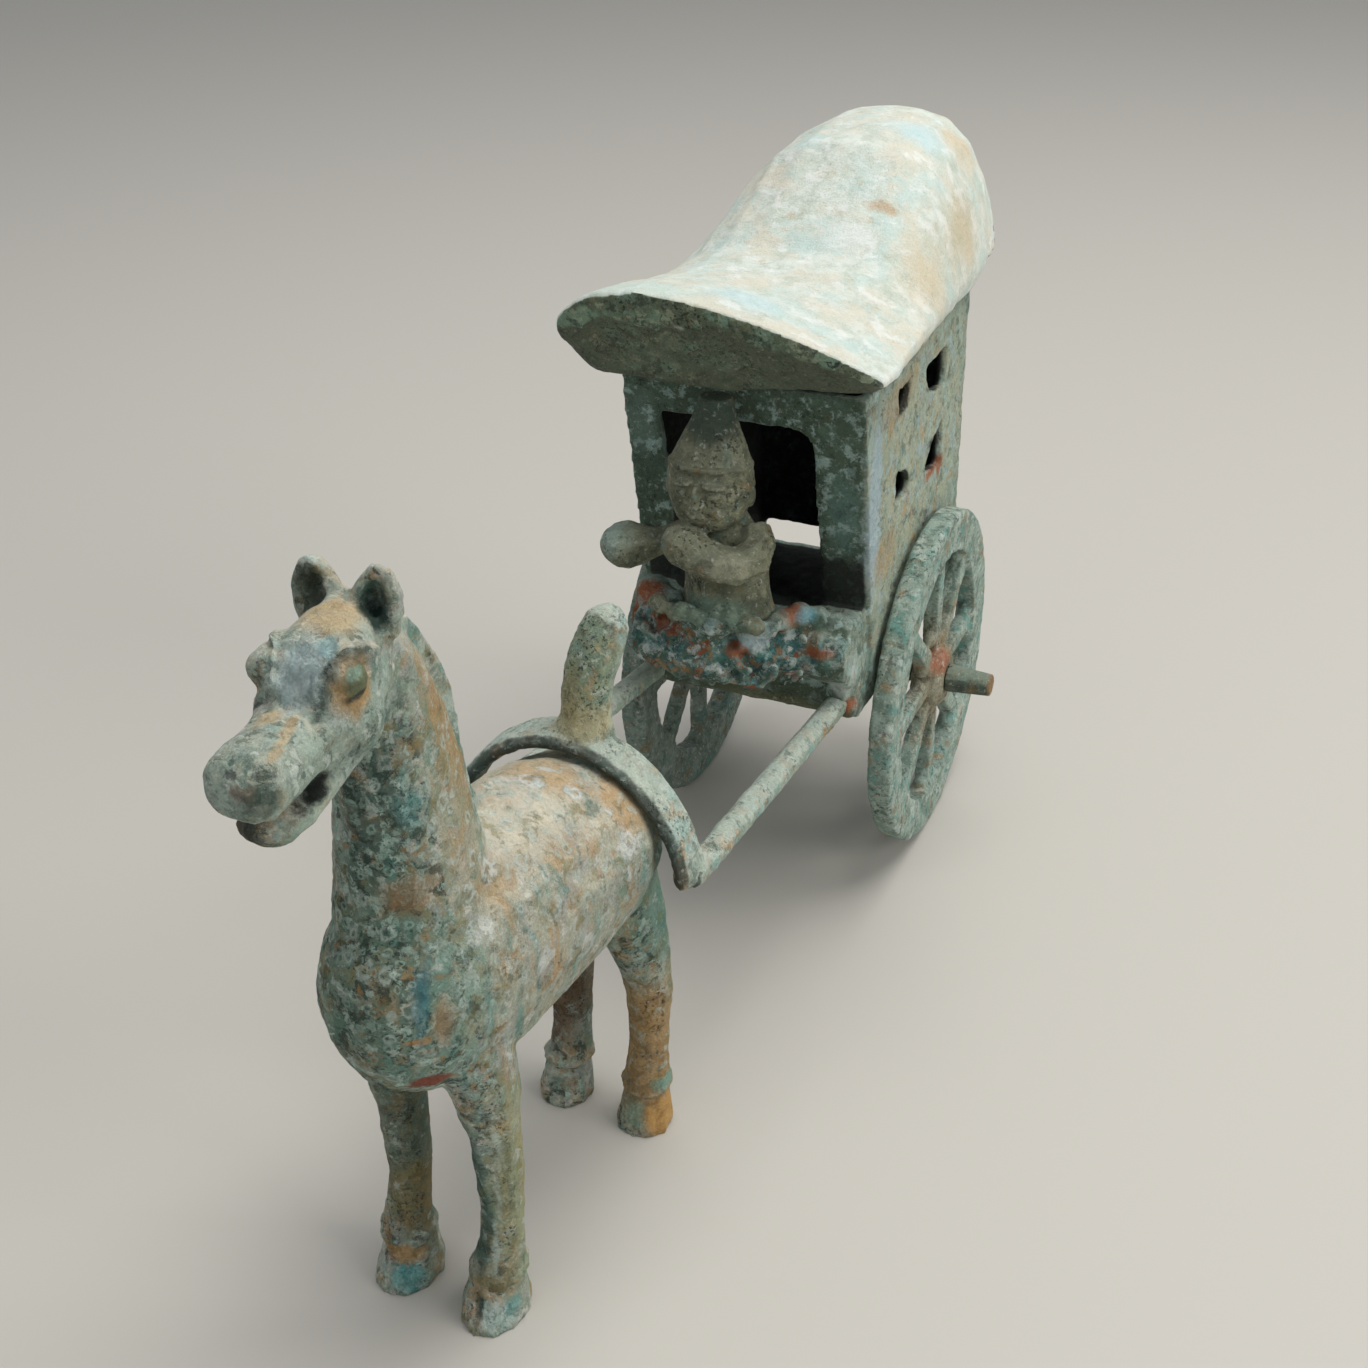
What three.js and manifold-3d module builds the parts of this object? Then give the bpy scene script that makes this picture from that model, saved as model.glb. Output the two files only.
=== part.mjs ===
// Small cast-bronze horse with a covered two-wheeled carriage and its driver.
// Units are millimetres. +Z is up, the horse faces -Y and +X is the horse's left side.
// Lengths along Y are measured back from the toes of the front hooves.

import * as THREE from 'three';
import { mergeVertices } from 'three/addons/utils/BufferGeometryUtils.js';
import Module from 'manifold-3d';

const wasm = await Module();
wasm.setup();

const { abs, cos, max, min, PI, pow, sign, sin } = Math;

// Driving dimensions

const GAP = 0.3;

const WHEEL = {
  radius: 46, rimInner: 34.8, halfTread: 3.2, trackHalf: 34.7, spokes: 8, spokeWidth: 4.4,
  hubRadius: 8.6, hubInner: 31.3, hubOuter: 39.6, hubEndRadius: 6.2, farSlide: 0.4,
};
const AXLE = { y: 207.8, z: 46, journal: 2.8, cap: 3.9, capEnd: 3, halfLength: 52 };
const HORSE = {
  x: -4, turnDegrees: -5.7, stance: 10.7, wheelbase: 58, headTurnDegrees: 10, legShift: -0.8,
  farFrontLean: 1.4, farHindLean: 0.8,
};
const YOKE = {
  y: 62, centreX: 0, halfSpan: 26.3, footZ: 74.4, crownZ: 102.4, thickness: 3.1, width: 10.2,
};
const SHAFT = { radius: 3, frontX: 26.2, frontZ: 74.6, rearX: 24.6, rearZ: 60.4, rearY: 170 };
const BOX = {
  halfWidth: 30.4, wall: 3, floorZ: 58.6, floorTop: 61.6, topZ: 143.2,
  frontTopY: 155, frontBottomY: 170, backY: 243,
};
const BEAM = { frontY: 159.5, backY: 175, bottomZ: 56.4, halfWidth: 29.4 };
const WINDOW = { left: -21.5, right: 17, bottom: 84, top: 133 };
const REAR_DOOR = { halfWidth: 26, height: 7 };
const LATTICE = {
  rearTop: [[219, 124], [219, 132.3], [204.5, 133], [209, 127.5]],
  frontTop: [[182.2, 130], [188.3, 133], [188.5, 135.8], [182, 134.4]],
  rearLow: [[208.5, 106], [220, 102.2], [220, 113.5], [213.8, 110.2]],
  frontLow: [[183.6, 107.6], [193.8, 107], [190, 112], [183, 114.5]],
};
const LEDGE = { frontY: 148, z: 77, halfHeight: 8.5 };
const ROOF = {
  frontY: 139, bulge: 3, backY: 267, shell: 2.8, lowerHalf: 31.4, edge: 2.2, brow: 10,
  crownX: -14,
};
const DRIVER = { x: -1, y: 146, seatZ: 87.5, headX: -3.8, headZ: 121 };

// Helpers: solids from geometry, lofts through rings, and smooth rows of sizes

const v = (x, y, z) => new THREE.Vector3(x, y, z);
const mix = (a, b, t) => a + (b - a) * t;
const power = (value, exponent) => sign(value) * pow(abs(value), exponent);

function solid(geometry) {
  const bare = geometry.clone();
  bare.deleteAttribute('normal');
  bare.deleteAttribute('uv');
  const merged = mergeVertices(bare, 1e-4);
  return new wasm.Manifold(new wasm.Mesh({
    numProp: 3,
    vertProperties: new Float32Array(merged.attributes.position.array),
    triVerts: new Uint32Array(merged.index.array),
  }));
}

function signedVolume(points, triangles) {
  let volume = 0;
  for (let i = 0; i < triangles.length; i += 3) {
    const [a, b, c] = [0, 1, 2].map((k) => points[triangles[i + k]]);
    volume += a.dot(b.clone().cross(c)) / 6;
  }
  return volume;
}

// Skin over a row of closed rings with equal point counts, capped at both ends
function loft(rings) {
  const sides = rings[0].length;
  const points = rings.flat();
  const triangles = [];
  for (let r = 0; r < rings.length - 1; r += 1) {
    for (let s = 0; s < sides; s += 1) {
      const a = r * sides + s;
      const b = r * sides + ((s + 1) % sides);
      triangles.push(a, b, b + sides, a, b + sides, a + sides);
    }
  }
  const ends = [rings[0], rings[rings.length - 1]];
  ends.forEach((ring, end) => {
    const centre = ring.reduce((sum, p) => sum.add(p), v(0, 0, 0)).divideScalar(sides);
    const first = end === 0 ? 0 : (rings.length - 1) * sides;
    points.push(centre);
    for (let s = 0; s < sides; s += 1) {
      const pair = [first + s, first + ((s + 1) % sides)];
      if (end === 0) pair.reverse();
      triangles.push(pair[0], pair[1], points.length - 1);
    }
  });
  if (signedVolume(points, triangles) < 0) triangles.reverse();
  const geometry = new THREE.BufferGeometry().setFromPoints(points);
  geometry.setIndex(triangles);
  return solid(geometry);
}

// Catmull-Rom row: keys are equal-length lists of sizes, resampled to count rows
function smoothRow(keys, count) {
  const rows = [];
  const spans = keys.length - 1;
  for (let i = 0; i < count; i += 1) {
    const u = (i / (count - 1)) * spans;
    const k = min(Math.floor(u), spans - 1);
    const t = u - k;
    const at = (n) => keys[max(0, min(spans, n))];
    rows.push(at(k).map((p1, j) => {
      const [p0, p2, p3] = [at(k - 1)[j], at(k + 1)[j], at(k + 2)[j]];
      const slope = (p2 - p0) * t;
      const curve = (2 * p0 - 5 * p1 + 4 * p2 - p3) * t * t;
      return p1 + 0.5 * (slope + curve + (3 * p1 - p0 - 3 * p2 + p3) * t * t * t);
    }));
  }
  return rows;
}

// Egg-shaped ring around a centre, from half sizes across, above and below it
function eggRing(centre, across, up, sizes, sides, square = 1) {
  const ring = [];
  for (let s = 0; s < sides; s += 1) {
    const angle = (2 * PI * (s + 0.5)) / sides;
    const height = sin(angle) > 0 ? sizes.above : sizes.below;
    ring.push(centre.clone()
      .addScaledVector(across, sizes.half * power(cos(angle), square))
      .addScaledVector(up, height * power(sin(angle), square)));
  }
  return ring;
}

// Body of rings that stand upright across the Y axis; keys are [y, z, half, above, below]
function alongY(keys, count, sides, square = 1) {
  return loft(smoothRow(keys, count).map(([y, z, half, above, below]) => (
    eggRing(v(0, y, z), v(1, 0, 0), v(0, 0, 1), { half, above, below }, sides, square))));
}

// Upright limb of level rings; keys are [z, x, y, half, front, back]
function upright(keys, count, sides, square = 1) {
  return loft(smoothRow(keys, count).map(([z, x, y, half, front, back]) => (
    eggRing(v(x, y, z), v(1, 0, 0), v(0, -1, 0), { half, above: front, below: back }, sides,
      square))));
}

// Rounded rod of changing radius through a few points; keys are [x, y, z, radius]
function rod(keys, count, sides, flatten = 1, reference = v(0, 0, 1)) {
  const row = smoothRow(keys, count);
  return loft(row.map(([x, y, z, radius], i) => {
    const before = row[max(0, i - 1)];
    const after = row[min(row.length - 1, i + 1)];
    const along = v(after[0] - before[0], after[1] - before[1], after[2] - before[2]).normalize();
    const side = reference.clone().cross(along).normalize();
    const up = along.clone().cross(side).normalize();
    return eggRing(v(x, y, z), side, up,
      { half: radius, above: radius * flatten, below: radius * flatten }, sides);
  }));
}

function ball(x, y, z, rx, ry = rx, rz = rx, width = 10, height = 7) {
  const geometry = new THREE.SphereGeometry(1, width, height);
  geometry.scale(rx, ry, rz);
  geometry.translate(x, y, z);
  return solid(geometry);
}

function block(x0, x1, y0, y1, z0, z1) {
  const geometry = new THREE.BoxGeometry(x1 - x0, y1 - y0, z1 - z0);
  geometry.translate((x0 + x1) / 2, (y0 + y1) / 2, (z0 + z1) / 2);
  return solid(geometry);
}

// Prism from an outline drawn in the Y-Z plane, run along X from x0 to x1
function prismAlongX(outline, x0, x1) {
  const geometry = new THREE.ExtrudeGeometry(new THREE.Shape(outline.map(
    ([y, z]) => new THREE.Vector2(y, z))), { depth: x1 - x0, bevelEnabled: false });
  geometry.rotateX(PI / 2);
  geometry.rotateZ(PI / 2);
  geometry.translate(x0, 0, 0);
  return solid(geometry);
}

// One solid from many, with any pocket sealed in between them filled
const join = (parts) => {
  const shells = parts.reduce((all, part) => all.add(part)).decompose();
  return shells.filter((part) => part.volume() > 0).reduce((all, part) => all.add(part));
};
const mirrored = (part) => part.mirror([1, 0, 0]);

function mesh(name, part, colour, roughness = 0.85, metalness = 0.35) {
  const { vertProperties, triVerts } = part.getMesh();
  const geometry = new THREE.BufferGeometry();
  geometry.setAttribute('position', new THREE.BufferAttribute(vertProperties, 3));
  geometry.setIndex(new THREE.BufferAttribute(triVerts, 1));
  geometry.computeVertexNormals();
  const material = new THREE.MeshStandardMaterial({ color: colour, roughness, metalness });
  const result = new THREE.Mesh(geometry, material);
  result.name = name;
  return result;
}

// Horse: deep barrel, thick upright neck, heavy head with an open mouth, straight legs

function frontLeg(lean) {
  const { stance } = HORSE;
  const hoofX = stance - 0.7 + lean;
  const kneeX = stance + 1 - lean;
  return upright([
    [0, hoofX, 7.8, 7, 8.6, 8.4],
    [3, hoofX, 8.2, 6.8, 7.8, 8],
    [8.2, hoofX, 9.2, 5.4, 5.2, 6],
    [10.2, hoofX + 0.2, 9.4, 6.1, 5.9, 6.2],
    [15, hoofX + 0.8, 9.8, 4.9, 4.9, 5.4],
    [24, kneeX, 10.4, 4.2, 4.6, 4.8],
    [36, kneeX + 0.2, 10.8, 4.4, 5.4, 5.4],
    [50, kneeX, 10.4, 5, 6.2, 6.4],
    [64, kneeX - 1, 9, 6.6, 8.8, 8.8],
    [78, stance - 2.8, 7.6, 7, 9, 9],
  ], 13, 10);
}

function hindLeg(lean) {
  const { stance, wheelbase } = HORSE;
  const x = stance - 0.7;
  const hoofX = x + lean;
  const y = wheelbase;
  return upright([
    [0, hoofX, y + 9.6, 6.5, 6.8, 6.4],
    [3, hoofX, y + 9.8, 6.3, 6.2, 6.2],
    [8.6, hoofX, y + 11, 5.2, 4.5, 5.2],
    [10.4, hoofX, y + 11, 5.8, 5.3, 5.8],
    [14.5, x, y + 11.4, 5, 4.7, 5.2],
    [24, x, y + 12.6, 4.4, 4.7, 4.8],
    [36, x, y + 13.6, 5.2, 6.2, 5.2],
    [50, x - 0.4, y + 11.4, 5.8, 8.6, 7],
    [66, x - 1.6, y + 8, 7.6, 13, 8],
    [82, x - 3, y + 4, 7, 11, 8],
  ], 13, 10);
}

function horseTrunk() {
  return alongY([
    [-12, 84.5, 2.5, 4, 5],
    [-10.4, 84, 8.2, 13, 12],
    [-4, 82.6, 13.8, 21, 18.6],
    [8, 81, 17.4, 26, 24],
    [26, 81, 18.4, 26.4, 25.5],
    [46, 82, 18.8, 22, 25.5],
    [60, 82, 19, 16.5, 22],
    [70, 80.4, 14.4, 14.8, 16],
    [75.8, 79, 2.5, 4, 4],
  ], 12, 16);
}

function horseNeck() {
  return upright([
    [78, 0, 6, 15.5, 16, 22],
    [92, 0, 6.5, 13.8, 15.4, 22.6],
    [106, 0, 6.5, 12, 13.4, 18.2],
    [118, 0, 6.4, 10, 12.2, 15.4],
    [132, 0, 6.4, 8.6, 11.4, 13.2],
    [146, 0, 4.8, 7.4, 9.6, 9.4],
    [154, 0, 2.6, 6, 7, 6.4],
    [160, 0, 1.4, 3, 3.4, 3.6],
  ], 11, 14);
}

// Head in its own frame, turned on the neck about the line between the ears
function horseHead() {
  const skull = alongY([
    [6, 152, 3.4, 5, 7],
    [2, 152, 6.8, 9.6, 11],
    [-5, 151.5, 8, 10.6, 11.6],
    [-11, 151, 8.6, 10, 11.4],
    [-15, 150, 8.4, 8.6, 12],
    [-18.2, 148.8, 7.2, 4, 9.8],
    [-24, 147.6, 6.7, 5, 5.8],
    [-30, 147.2, 7, 5.9, 5.1],
    [-34.2, 147, 6.4, 5, 4.9],
    [-36.4, 147, 3, 2.4, 2.4],
  ], 17, 12, 0.85);
  const jaw = alongY([
    [-8, 142, 7, 4, 4],
    [-16, 140, 6.4, 3, 3.6],
    [-24, 138.4, 5.9, 2.4, 3.4],
    [-29, 138.2, 5.2, 2.2, 3.5],
    [-31.6, 138.6, 3.7, 1.6, 2.4],
    [-32.8, 138.8, 1.6, 0.7, 0.8],
  ], 8, 10);
  const cheek = ball(4.6, -9.5, 146.4, 4.8, 6.6, 7, 10, 6);
  const eye = ball(7.2, -12, 154.8, 2, 2.9, 2.9, 8, 6);
  const brow = rod([
    [3, -17, 154, 1.4], [5.4, -15, 157, 1.7], [6.8, -10.4, 158.4, 1.6],
    [7.4, -5, 156.4, 1.2],
  ], 6, 6);
  const oneSide = [cheek, eye, brow];
  const ears = ear().add(mirrored(ear())).translate([-0.3, 0, 0]);
  return join([skull, jaw, ears, ...oneSide, ...oneSide.map(mirrored)])
    .rotate([0, 0, HORSE.headTurnDegrees]);
}

// Leaf-shaped ear with a hollow on its front face
function ear() {
  const acrossY = v(0, 1, 0);
  const shell = rod([
    [4.6, 1.4, 155.6, 4.3],
    [4.9, 1.3, 160, 4.7],
    [5.6, 1.8, 163.8, 4.1],
    [6.1, 2.2, 167, 1.8],
  ], 6, 8, 0.6, acrossY);
  const hollow = rod([
    [5, -2.4, 158, 2.5],
    [5.4, -1.6, 161.4, 3.3],
    [5.9, -0.6, 165.4, 1.9],
  ], 4, 6, 0.8, acrossY);
  return shell.subtract(hollow);
}

function mane() {
  const half = 1.5;
  return prismAlongX([
    [-1, 160], [1.6, 162.6], [5, 160.8], [9, 157.4], [13, 153], [16.4, 148.4], [19.8, 142.2],
    [22.4, 135.4], [23.8, 128], [24.6, 120], [25.8, 112], [29, 106], [20, 104], [8, 140],
  ], -half, half);
}

function buildHorse() {
  const keel = ball(0, 34, 55.4, 1.4, 15, 2, 8, 6);
  const tail = rod([
    [0, 71, 92, 2.6], [0, 77, 89, 3.2], [0, 79, 78, 3.4], [0, 78.6, 64, 3], [0, 77.6, 55, 1],
  ], 8, 8, 0.7, v(1, 0, 0));
  const { farFrontLean, farHindLean, legShift } = HORSE;
  const legs = join([
    frontLeg(0), hindLeg(0), mirrored(frontLeg(farFrontLean)), mirrored(hindLeg(farHindLean)),
  ]).translate([legShift, 0, 0]);
  const whole = join([horseTrunk(), horseNeck(), horseHead(), mane(), keel, tail, legs]);
  const group = new THREE.Group();
  group.add(mesh('horse', whole, 0x8fa79a));
  group.position.x = HORSE.x;
  group.rotation.z = THREE.MathUtils.degToRad(HORSE.turnDegrees);
  return group;
}

// Yoke and shafts: flat arched band over the back, thumb-shaped finial, two round shafts

function yokeBand() {
  const { centreX, halfSpan, footZ, crownZ, thickness, width, y } = YOKE;
  const steps = 18;
  const pointed = 1.16;
  const rise = crownZ - footZ;
  const spine = (i) => {
    const angle = (PI * i) / steps;
    return v(centreX + halfSpan * cos(angle), y, footZ + rise * pow(sin(angle), pointed));
  };
  const section = [[-1, 0], [-0.8, -0.5], [0.8, -0.5], [1, 0], [0.7, 0.5], [-0.7, 0.5]];
  const rings = [];
  for (let i = 0; i <= steps; i += 1) {
    const along = spine(min(steps, i + 1)).sub(spine(max(0, i - 1))).normalize();
    const out = v(along.z, 0, -along.x);
    rings.push(section.map(([side, top]) => spine(i)
      .addScaledVector(v(0, width / 2, 0), side)
      .addScaledVector(out, thickness * top)));
  }
  return loft(rings);
}

function shaftRod(extra) {
  const { radius, frontX, frontZ, rearX, rearZ, rearY } = SHAFT;
  const at = (t) => [mix(frontX, rearX, t), mix(YOKE.y, rearY, t), mix(frontZ, rearZ, t)];
  return rod([
    [...at(0), radius * 0.8 + extra], [...at(0.05), radius + extra],
    [...at(0.5), radius + extra], [...at(1 + extra * 0.01), radius + extra],
  ], 7, 8);
}

function buildYokeAndShafts() {
  const { centreX, halfSpan, footZ, y, crownZ } = YOKE;
  const foot = ball(halfSpan - 0.6, y, footZ + 1.6, 2.8, 4.8, 3.6, 8, 6);
  const x = centreX + 2.7;
  const finial = rod([
    [x, y + 2, crownZ - 1, 7.6],
    [x + 0.4, y + 2.6, crownZ + 3, 5.4],
    [x + 0.6, y + 3.4, crownZ + 10, 5.2],
    [x + 2.2, y + 5.6, crownZ + 18, 5.3],
    [x + 3.8, y + 8.4, crownZ + 23.2, 4.4],
    [x + 4.6, y + 10, crownZ + 25.4, 1],
  ], 10, 10, 0.9, v(0, 1, 0));
  const oneSide = [shaftRod(0), foot];
  const whole = join([yokeBand(), finial, ...oneSide, ...oneSide.map(mirrored)]);
  return mesh('yoke_and_shafts', whole, 0x93a899);
}

// Carriage body: floor tray, driver's ledge, pierced side walls, front window, rear slot

const frontFaceY = (z) => mix(BOX.frontBottomY, BOX.frontTopY,
  (z - BOX.floorZ) / (BOX.topZ - BOX.floorZ));

function wallShell() {
  const { halfWidth, wall, floorZ, floorTop, topZ, backY } = BOX;
  const outer = prismAlongX([
    [frontFaceY(floorZ), floorZ], [frontFaceY(topZ), topZ], [backY, topZ], [backY, floorZ],
  ], -halfWidth, halfWidth);
  const inner = prismAlongX([
    [frontFaceY(floorTop) + wall, floorTop], [frontFaceY(topZ + 5) + wall, topZ + 5],
    [backY - wall, topZ + 5], [backY - wall, floorTop],
  ], wall - halfWidth, halfWidth - wall);
  return outer.subtract(inner);
}

// Openings left round the bars of the lattice, cut through one side wall;
// the far wall has its low front opening clogged with corrosion
function latticeHoles(side) {
  const { rearTop, frontTop, rearLow, frontLow } = LATTICE;
  const outlines = [rearTop, frontTop, rearLow];
  if (side > 0) outlines.push(frontLow);
  const x = side * BOX.halfWidth;
  return join(outlines.map((outline) => prismAlongX(outline, x - 5, x + 5)));
}

function frontWindow() {
  const { left, right, bottom, top } = WINDOW;
  const radius = 6;
  const shape = new THREE.Shape();
  shape.moveTo(left + 1.5, bottom);
  shape.lineTo(right + 0.5, bottom);
  shape.lineTo(right, top - radius);
  shape.quadraticCurveTo(right, top, right - radius, top);
  shape.lineTo(left, top);
  const geometry = new THREE.ExtrudeGeometry(shape, {
    depth: 40, bevelEnabled: false, curveSegments: 4,
  });
  geometry.rotateX(PI / 2);
  geometry.translate(0, BOX.frontBottomY + 12, 0);
  return solid(geometry);
}

function ledge() {
  const { frontY, z, halfHeight } = LEDGE;
  const backY = frontFaceY(z) + 1.5;
  const bench = prismAlongX([
    [backY, z - halfHeight], [frontY + 6, z - halfHeight + 1], [frontY + 0.8, z - 3],
    [frontY + 1.4, z + 4], [frontY + 6, z + halfHeight], [backY, z + halfHeight + 1],
  ], 3 - BOX.halfWidth, BOX.halfWidth - 1.2);
  const lumps = [[-21, 5], [-16, 4], [-7, 6], [3, 5], [13, 6], [22, 5]].map(
    ([x, r], i) => ball(x, frontY + 6 + (i % 2), z - 1 + 2 * (i % 3), r + 1.4, r + 1.6, r + 2,
      8, 6));
  const mound = ball(DRIVER.x - 3, DRIVER.y + 3, DRIVER.seatZ - GAP - 9, 19, 13, 9, 10, 7);
  return join([bench, mound, ...lumps]);
}

function buildCarriageBody() {
  const { floorZ, floorTop, backY } = BOX;
  const lugSize = 5.5;
  const lug = block(22, 29, AXLE.y - lugSize, AXLE.y + lugSize, AXLE.z - lugSize + 1,
    floorZ + 0.5);
  const bore = new THREE.CylinderGeometry(AXLE.journal + GAP, AXLE.journal + GAP, 80, 24);
  bore.rotateZ(PI / 2);
  bore.translate(0, AXLE.y, AXLE.z);
  const beam = prismAlongX([
    [BEAM.frontY, BEAM.bottomZ + 2], [BEAM.frontY - 2, LEDGE.z - 6], [frontFaceY(LEDGE.z), LEDGE.z],
    [BEAM.backY, floorTop], [BEAM.backY, BEAM.bottomZ], [BEAM.frontY + 2, BEAM.bottomZ],
  ], -BEAM.halfWidth, BEAM.halfWidth);
  const socket = shaftRod(GAP);
  const rearSlot = block(-REAR_DOOR.halfWidth, REAR_DOOR.halfWidth, backY - 10, backY + 5,
    floorTop, floorTop + REAR_DOOR.height);
  const whole = join([wallShell(), ledge(), beam, lug, mirrored(lug)])
    .subtract(frontWindow())
    .subtract(latticeHoles(1))
    .subtract(latticeHoles(-1))
    .subtract(rearSlot)
    .subtract(socket)
    .subtract(mirrored(socket))
    .subtract(solid(bore));
  return mesh('carriage_body', whole, 0x6f8778);
}

// Roof: thin saddle-shaped vault whose underside curves in all round to the wall tops

// keys: [y, half width, far end height, near end height, crown height]
const ROOF_KEYS = [
  [ROOF.frontY, 39.3, 159.4, 154.2, 168.3],
  [ROOF.frontY + ROOF.brow, 39.2, 156.8, 153.6, 166.8],
  [162, 37.6, 154.5, 153, 164.8],
  [176, 36.6, 153, 152.4, 163.4],
  [190, 35.6, 152, 151.8, 165],
  [206, 34.4, 151.2, 151, 174],
  [222, 33.4, 150.6, 150.6, 183],
  [238, 32.8, 150.2, 150.2, 184.6],
  [254, 32, 150, 150, 184.6],
  [ROOF.backY, 30.4, 150, 150, 183],
];

// Height of the vault at x: lopsided at the front, round and even at the back
function vaultHeight(x, half, [farEnd, nearEnd, crown], rear) {
  const crownX = mix(ROOF.crownX, 0, rear);
  const far = x < crownX;
  const reach = min(1, (x - crownX) / ((far ? -half : half) - crownX));
  const fullness = far ? mix(3.2, 2.6, rear) : mix(1.75, 3.5, rear);
  const share = pow(1 - pow(reach, fullness), mix(1, 0.8, rear));
  return mix(far ? farEnd : nearEnd, crown, share);
}

function roofSection([y, half, ...heights], inset) {
  const { frontY, backY, bulge, lowerHalf, edge, brow } = ROOF;
  const { clamp, smoothstep } = THREE.MathUtils;
  const count = 12;
  const seatZ = BOX.topZ + GAP;
  const rear = smoothstep(y, frontY + brow, frontY + 6 * brow);
  const frontEdge = (x) => clamp(1 - (y - frontY) / (brow * (1 + max(0, x / half) / 2)), 0, 1);
  const backEdge = clamp(1 - (backY - y) / (backY - BOX.backY), 0, 1);
  const wide = half - inset * 1.5;
  const vault = (x) => vaultHeight(x, wide + 0.01, heights, rear);
  const forward = (x) => y - bulge * frontEdge(x) * (1 - (x / half) ** 2);
  const upper = (x) => vault(x) - inset;
  const lower = (x) => {
    const slope = clamp((abs(x) - lowerHalf + inset) / (half - lowerHalf), 0, 1);
    const tuck = x < 0 ? 5 : 1.5;
    const lip = edge * (x < 0 ? 1 + pow(x / half, 4) * (1 - rear) : 1);
    const soffit = mix(seatZ, vault(sign(x) * half) - lip, pow(slope, tuck));
    return mix(soffit, vault(x) - lip, max(frontEdge(x), backEdge)) + inset;
  };
  const ring = [];
  for (let i = 0; i <= count; i += 1) {
    const x = wide * cos((PI * i) / count);
    ring.push(v(x, forward(x), max(upper(x), lower(x) + 0.8)));
  }
  for (let i = 0; i <= count; i += 1) {
    const x = -wide * cos((PI * i) / count);
    ring.push(v(x, forward(x), lower(x)));
  }
  return ring;
}

function buildRoof() {
  const { shell, backY } = ROOF;
  const { halfWidth, wall, topZ } = BOX;
  const frontWallY = frontFaceY(topZ) + wall;
  const outer = loft(ROOF_KEYS.map((row) => roofSection(row, 0)));
  const inside = ROOF_KEYS.filter(([y]) => y > frontWallY && y < backY - 5);
  const inner = loft(inside.map((row) => roofSection(row, shell)));
  const mouth = block(wall - halfWidth, halfWidth - wall, frontWallY + 1, BOX.backY - wall,
    topZ - 5, topZ + 6);
  return mesh('roof', outer.subtract(inner).subtract(mouth), 0xc2cfc6, 0.9, 0.2);
}

// Driver: seated half figure, tall tapered hat, one arm across and one fist held out

function buildDriver() {
  const { x, y, seatZ, headX, headZ } = DRIVER;
  const torso = upright([
    [seatZ, x + 0.6, y + 2.6, 12.4, 9, 8],
    [seatZ + 8, x + 0.4, y + 2.2, 10.6, 7.6, 7],
    [seatZ + 17, x, y + 2.4, 10.4, 7, 6.6],
    [seatZ + 24, x - 0.8, y + 2.6, 7.6, 6, 6],
    [seatZ + 28, x - 1, y + 2.4, 4.6, 4.6, 4.6],
  ], 9, 12);
  const head = upright([
    [headZ - 10.4, headX, y - 1, 3.6, 3.4, 4],
    [headZ - 7, headX, y - 0.6, 8.2, 7, 7],
    [headZ, headX, y, 10.6, 8.8, 9],
    [headZ + 6, headX, y + 0.6, 9.9, 8, 8.2],
    [headZ + 11, headX, y + 1.6, 7.8, 6.6, 6.6],
    [headZ + 16, headX, y + 3, 5.4, 4.5, 4.5],
    [headZ + 20.6, headX, y + 4, 4, 3, 3],
  ], 12, 12);
  const leftArm = rod([
    [x + 6.6, y + 2.6, seatZ + 22.4, 4.6],
    [x + 9.4, y - 1.6, seatZ + 18.8, 4.8],
    [x + 5.6, y - 7.8, seatZ + 17.6, 4.6],
    [x - 2, y - 9.4, seatZ + 20.2, 4.8],
    [x - 8, y - 8.6, seatZ + 22.4, 5.2],
    [x - 10.6, y - 7.8, seatZ + 22.8, 2],
  ], 9, 8);
  const rightArm = rod([
    [x - 8, y + 3, seatZ + 21, 4.2],
    [x - 13, y, seatZ + 18.6, 3.6],
    [x - 16.6, y - 4, seatZ + 18.4, 4.4],
    [x - 20.6, y - 6, seatZ + 18.2, 6.6],
    [x - 25.4, y - 7.4, seatZ + 17.8, 5.6],
    [x - 27.6, y - 8, seatZ + 17.4, 2],
  ], 9, 8, 0.85);
  const nose = ball(headX, y - 8.6, headZ - 1, 1.3, 1.6, 2.6, 8, 6);
  return mesh('driver', join([torso, head, nose, leftArm, rightArm]), 0x7d8577);
}

// Axle: plain journals with a fatter tapered end outside each hub

function buildAxle() {
  const { journal, cap, capEnd, halfLength, y, z } = AXLE;
  const capStart = WHEEL.hubOuter + GAP;
  const profile = [
    [0, -halfLength], [capEnd, -halfLength], [cap, -capStart], [journal, -capStart],
    [journal, capStart], [cap, capStart], [capEnd, halfLength], [0, halfLength],
  ].map(([r, x]) => new THREE.Vector2(r, x));
  const geometry = new THREE.LatheGeometry(profile, 16);
  geometry.rotateZ(-PI / 2);
  const axle = mesh('axle', solid(geometry), 0x6d6a52);
  axle.position.set(0, y, z);
  return axle;
}

// Wheel: broad rim, eight spokes and a hub that swells at the spokes, bored for the axle

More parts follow.
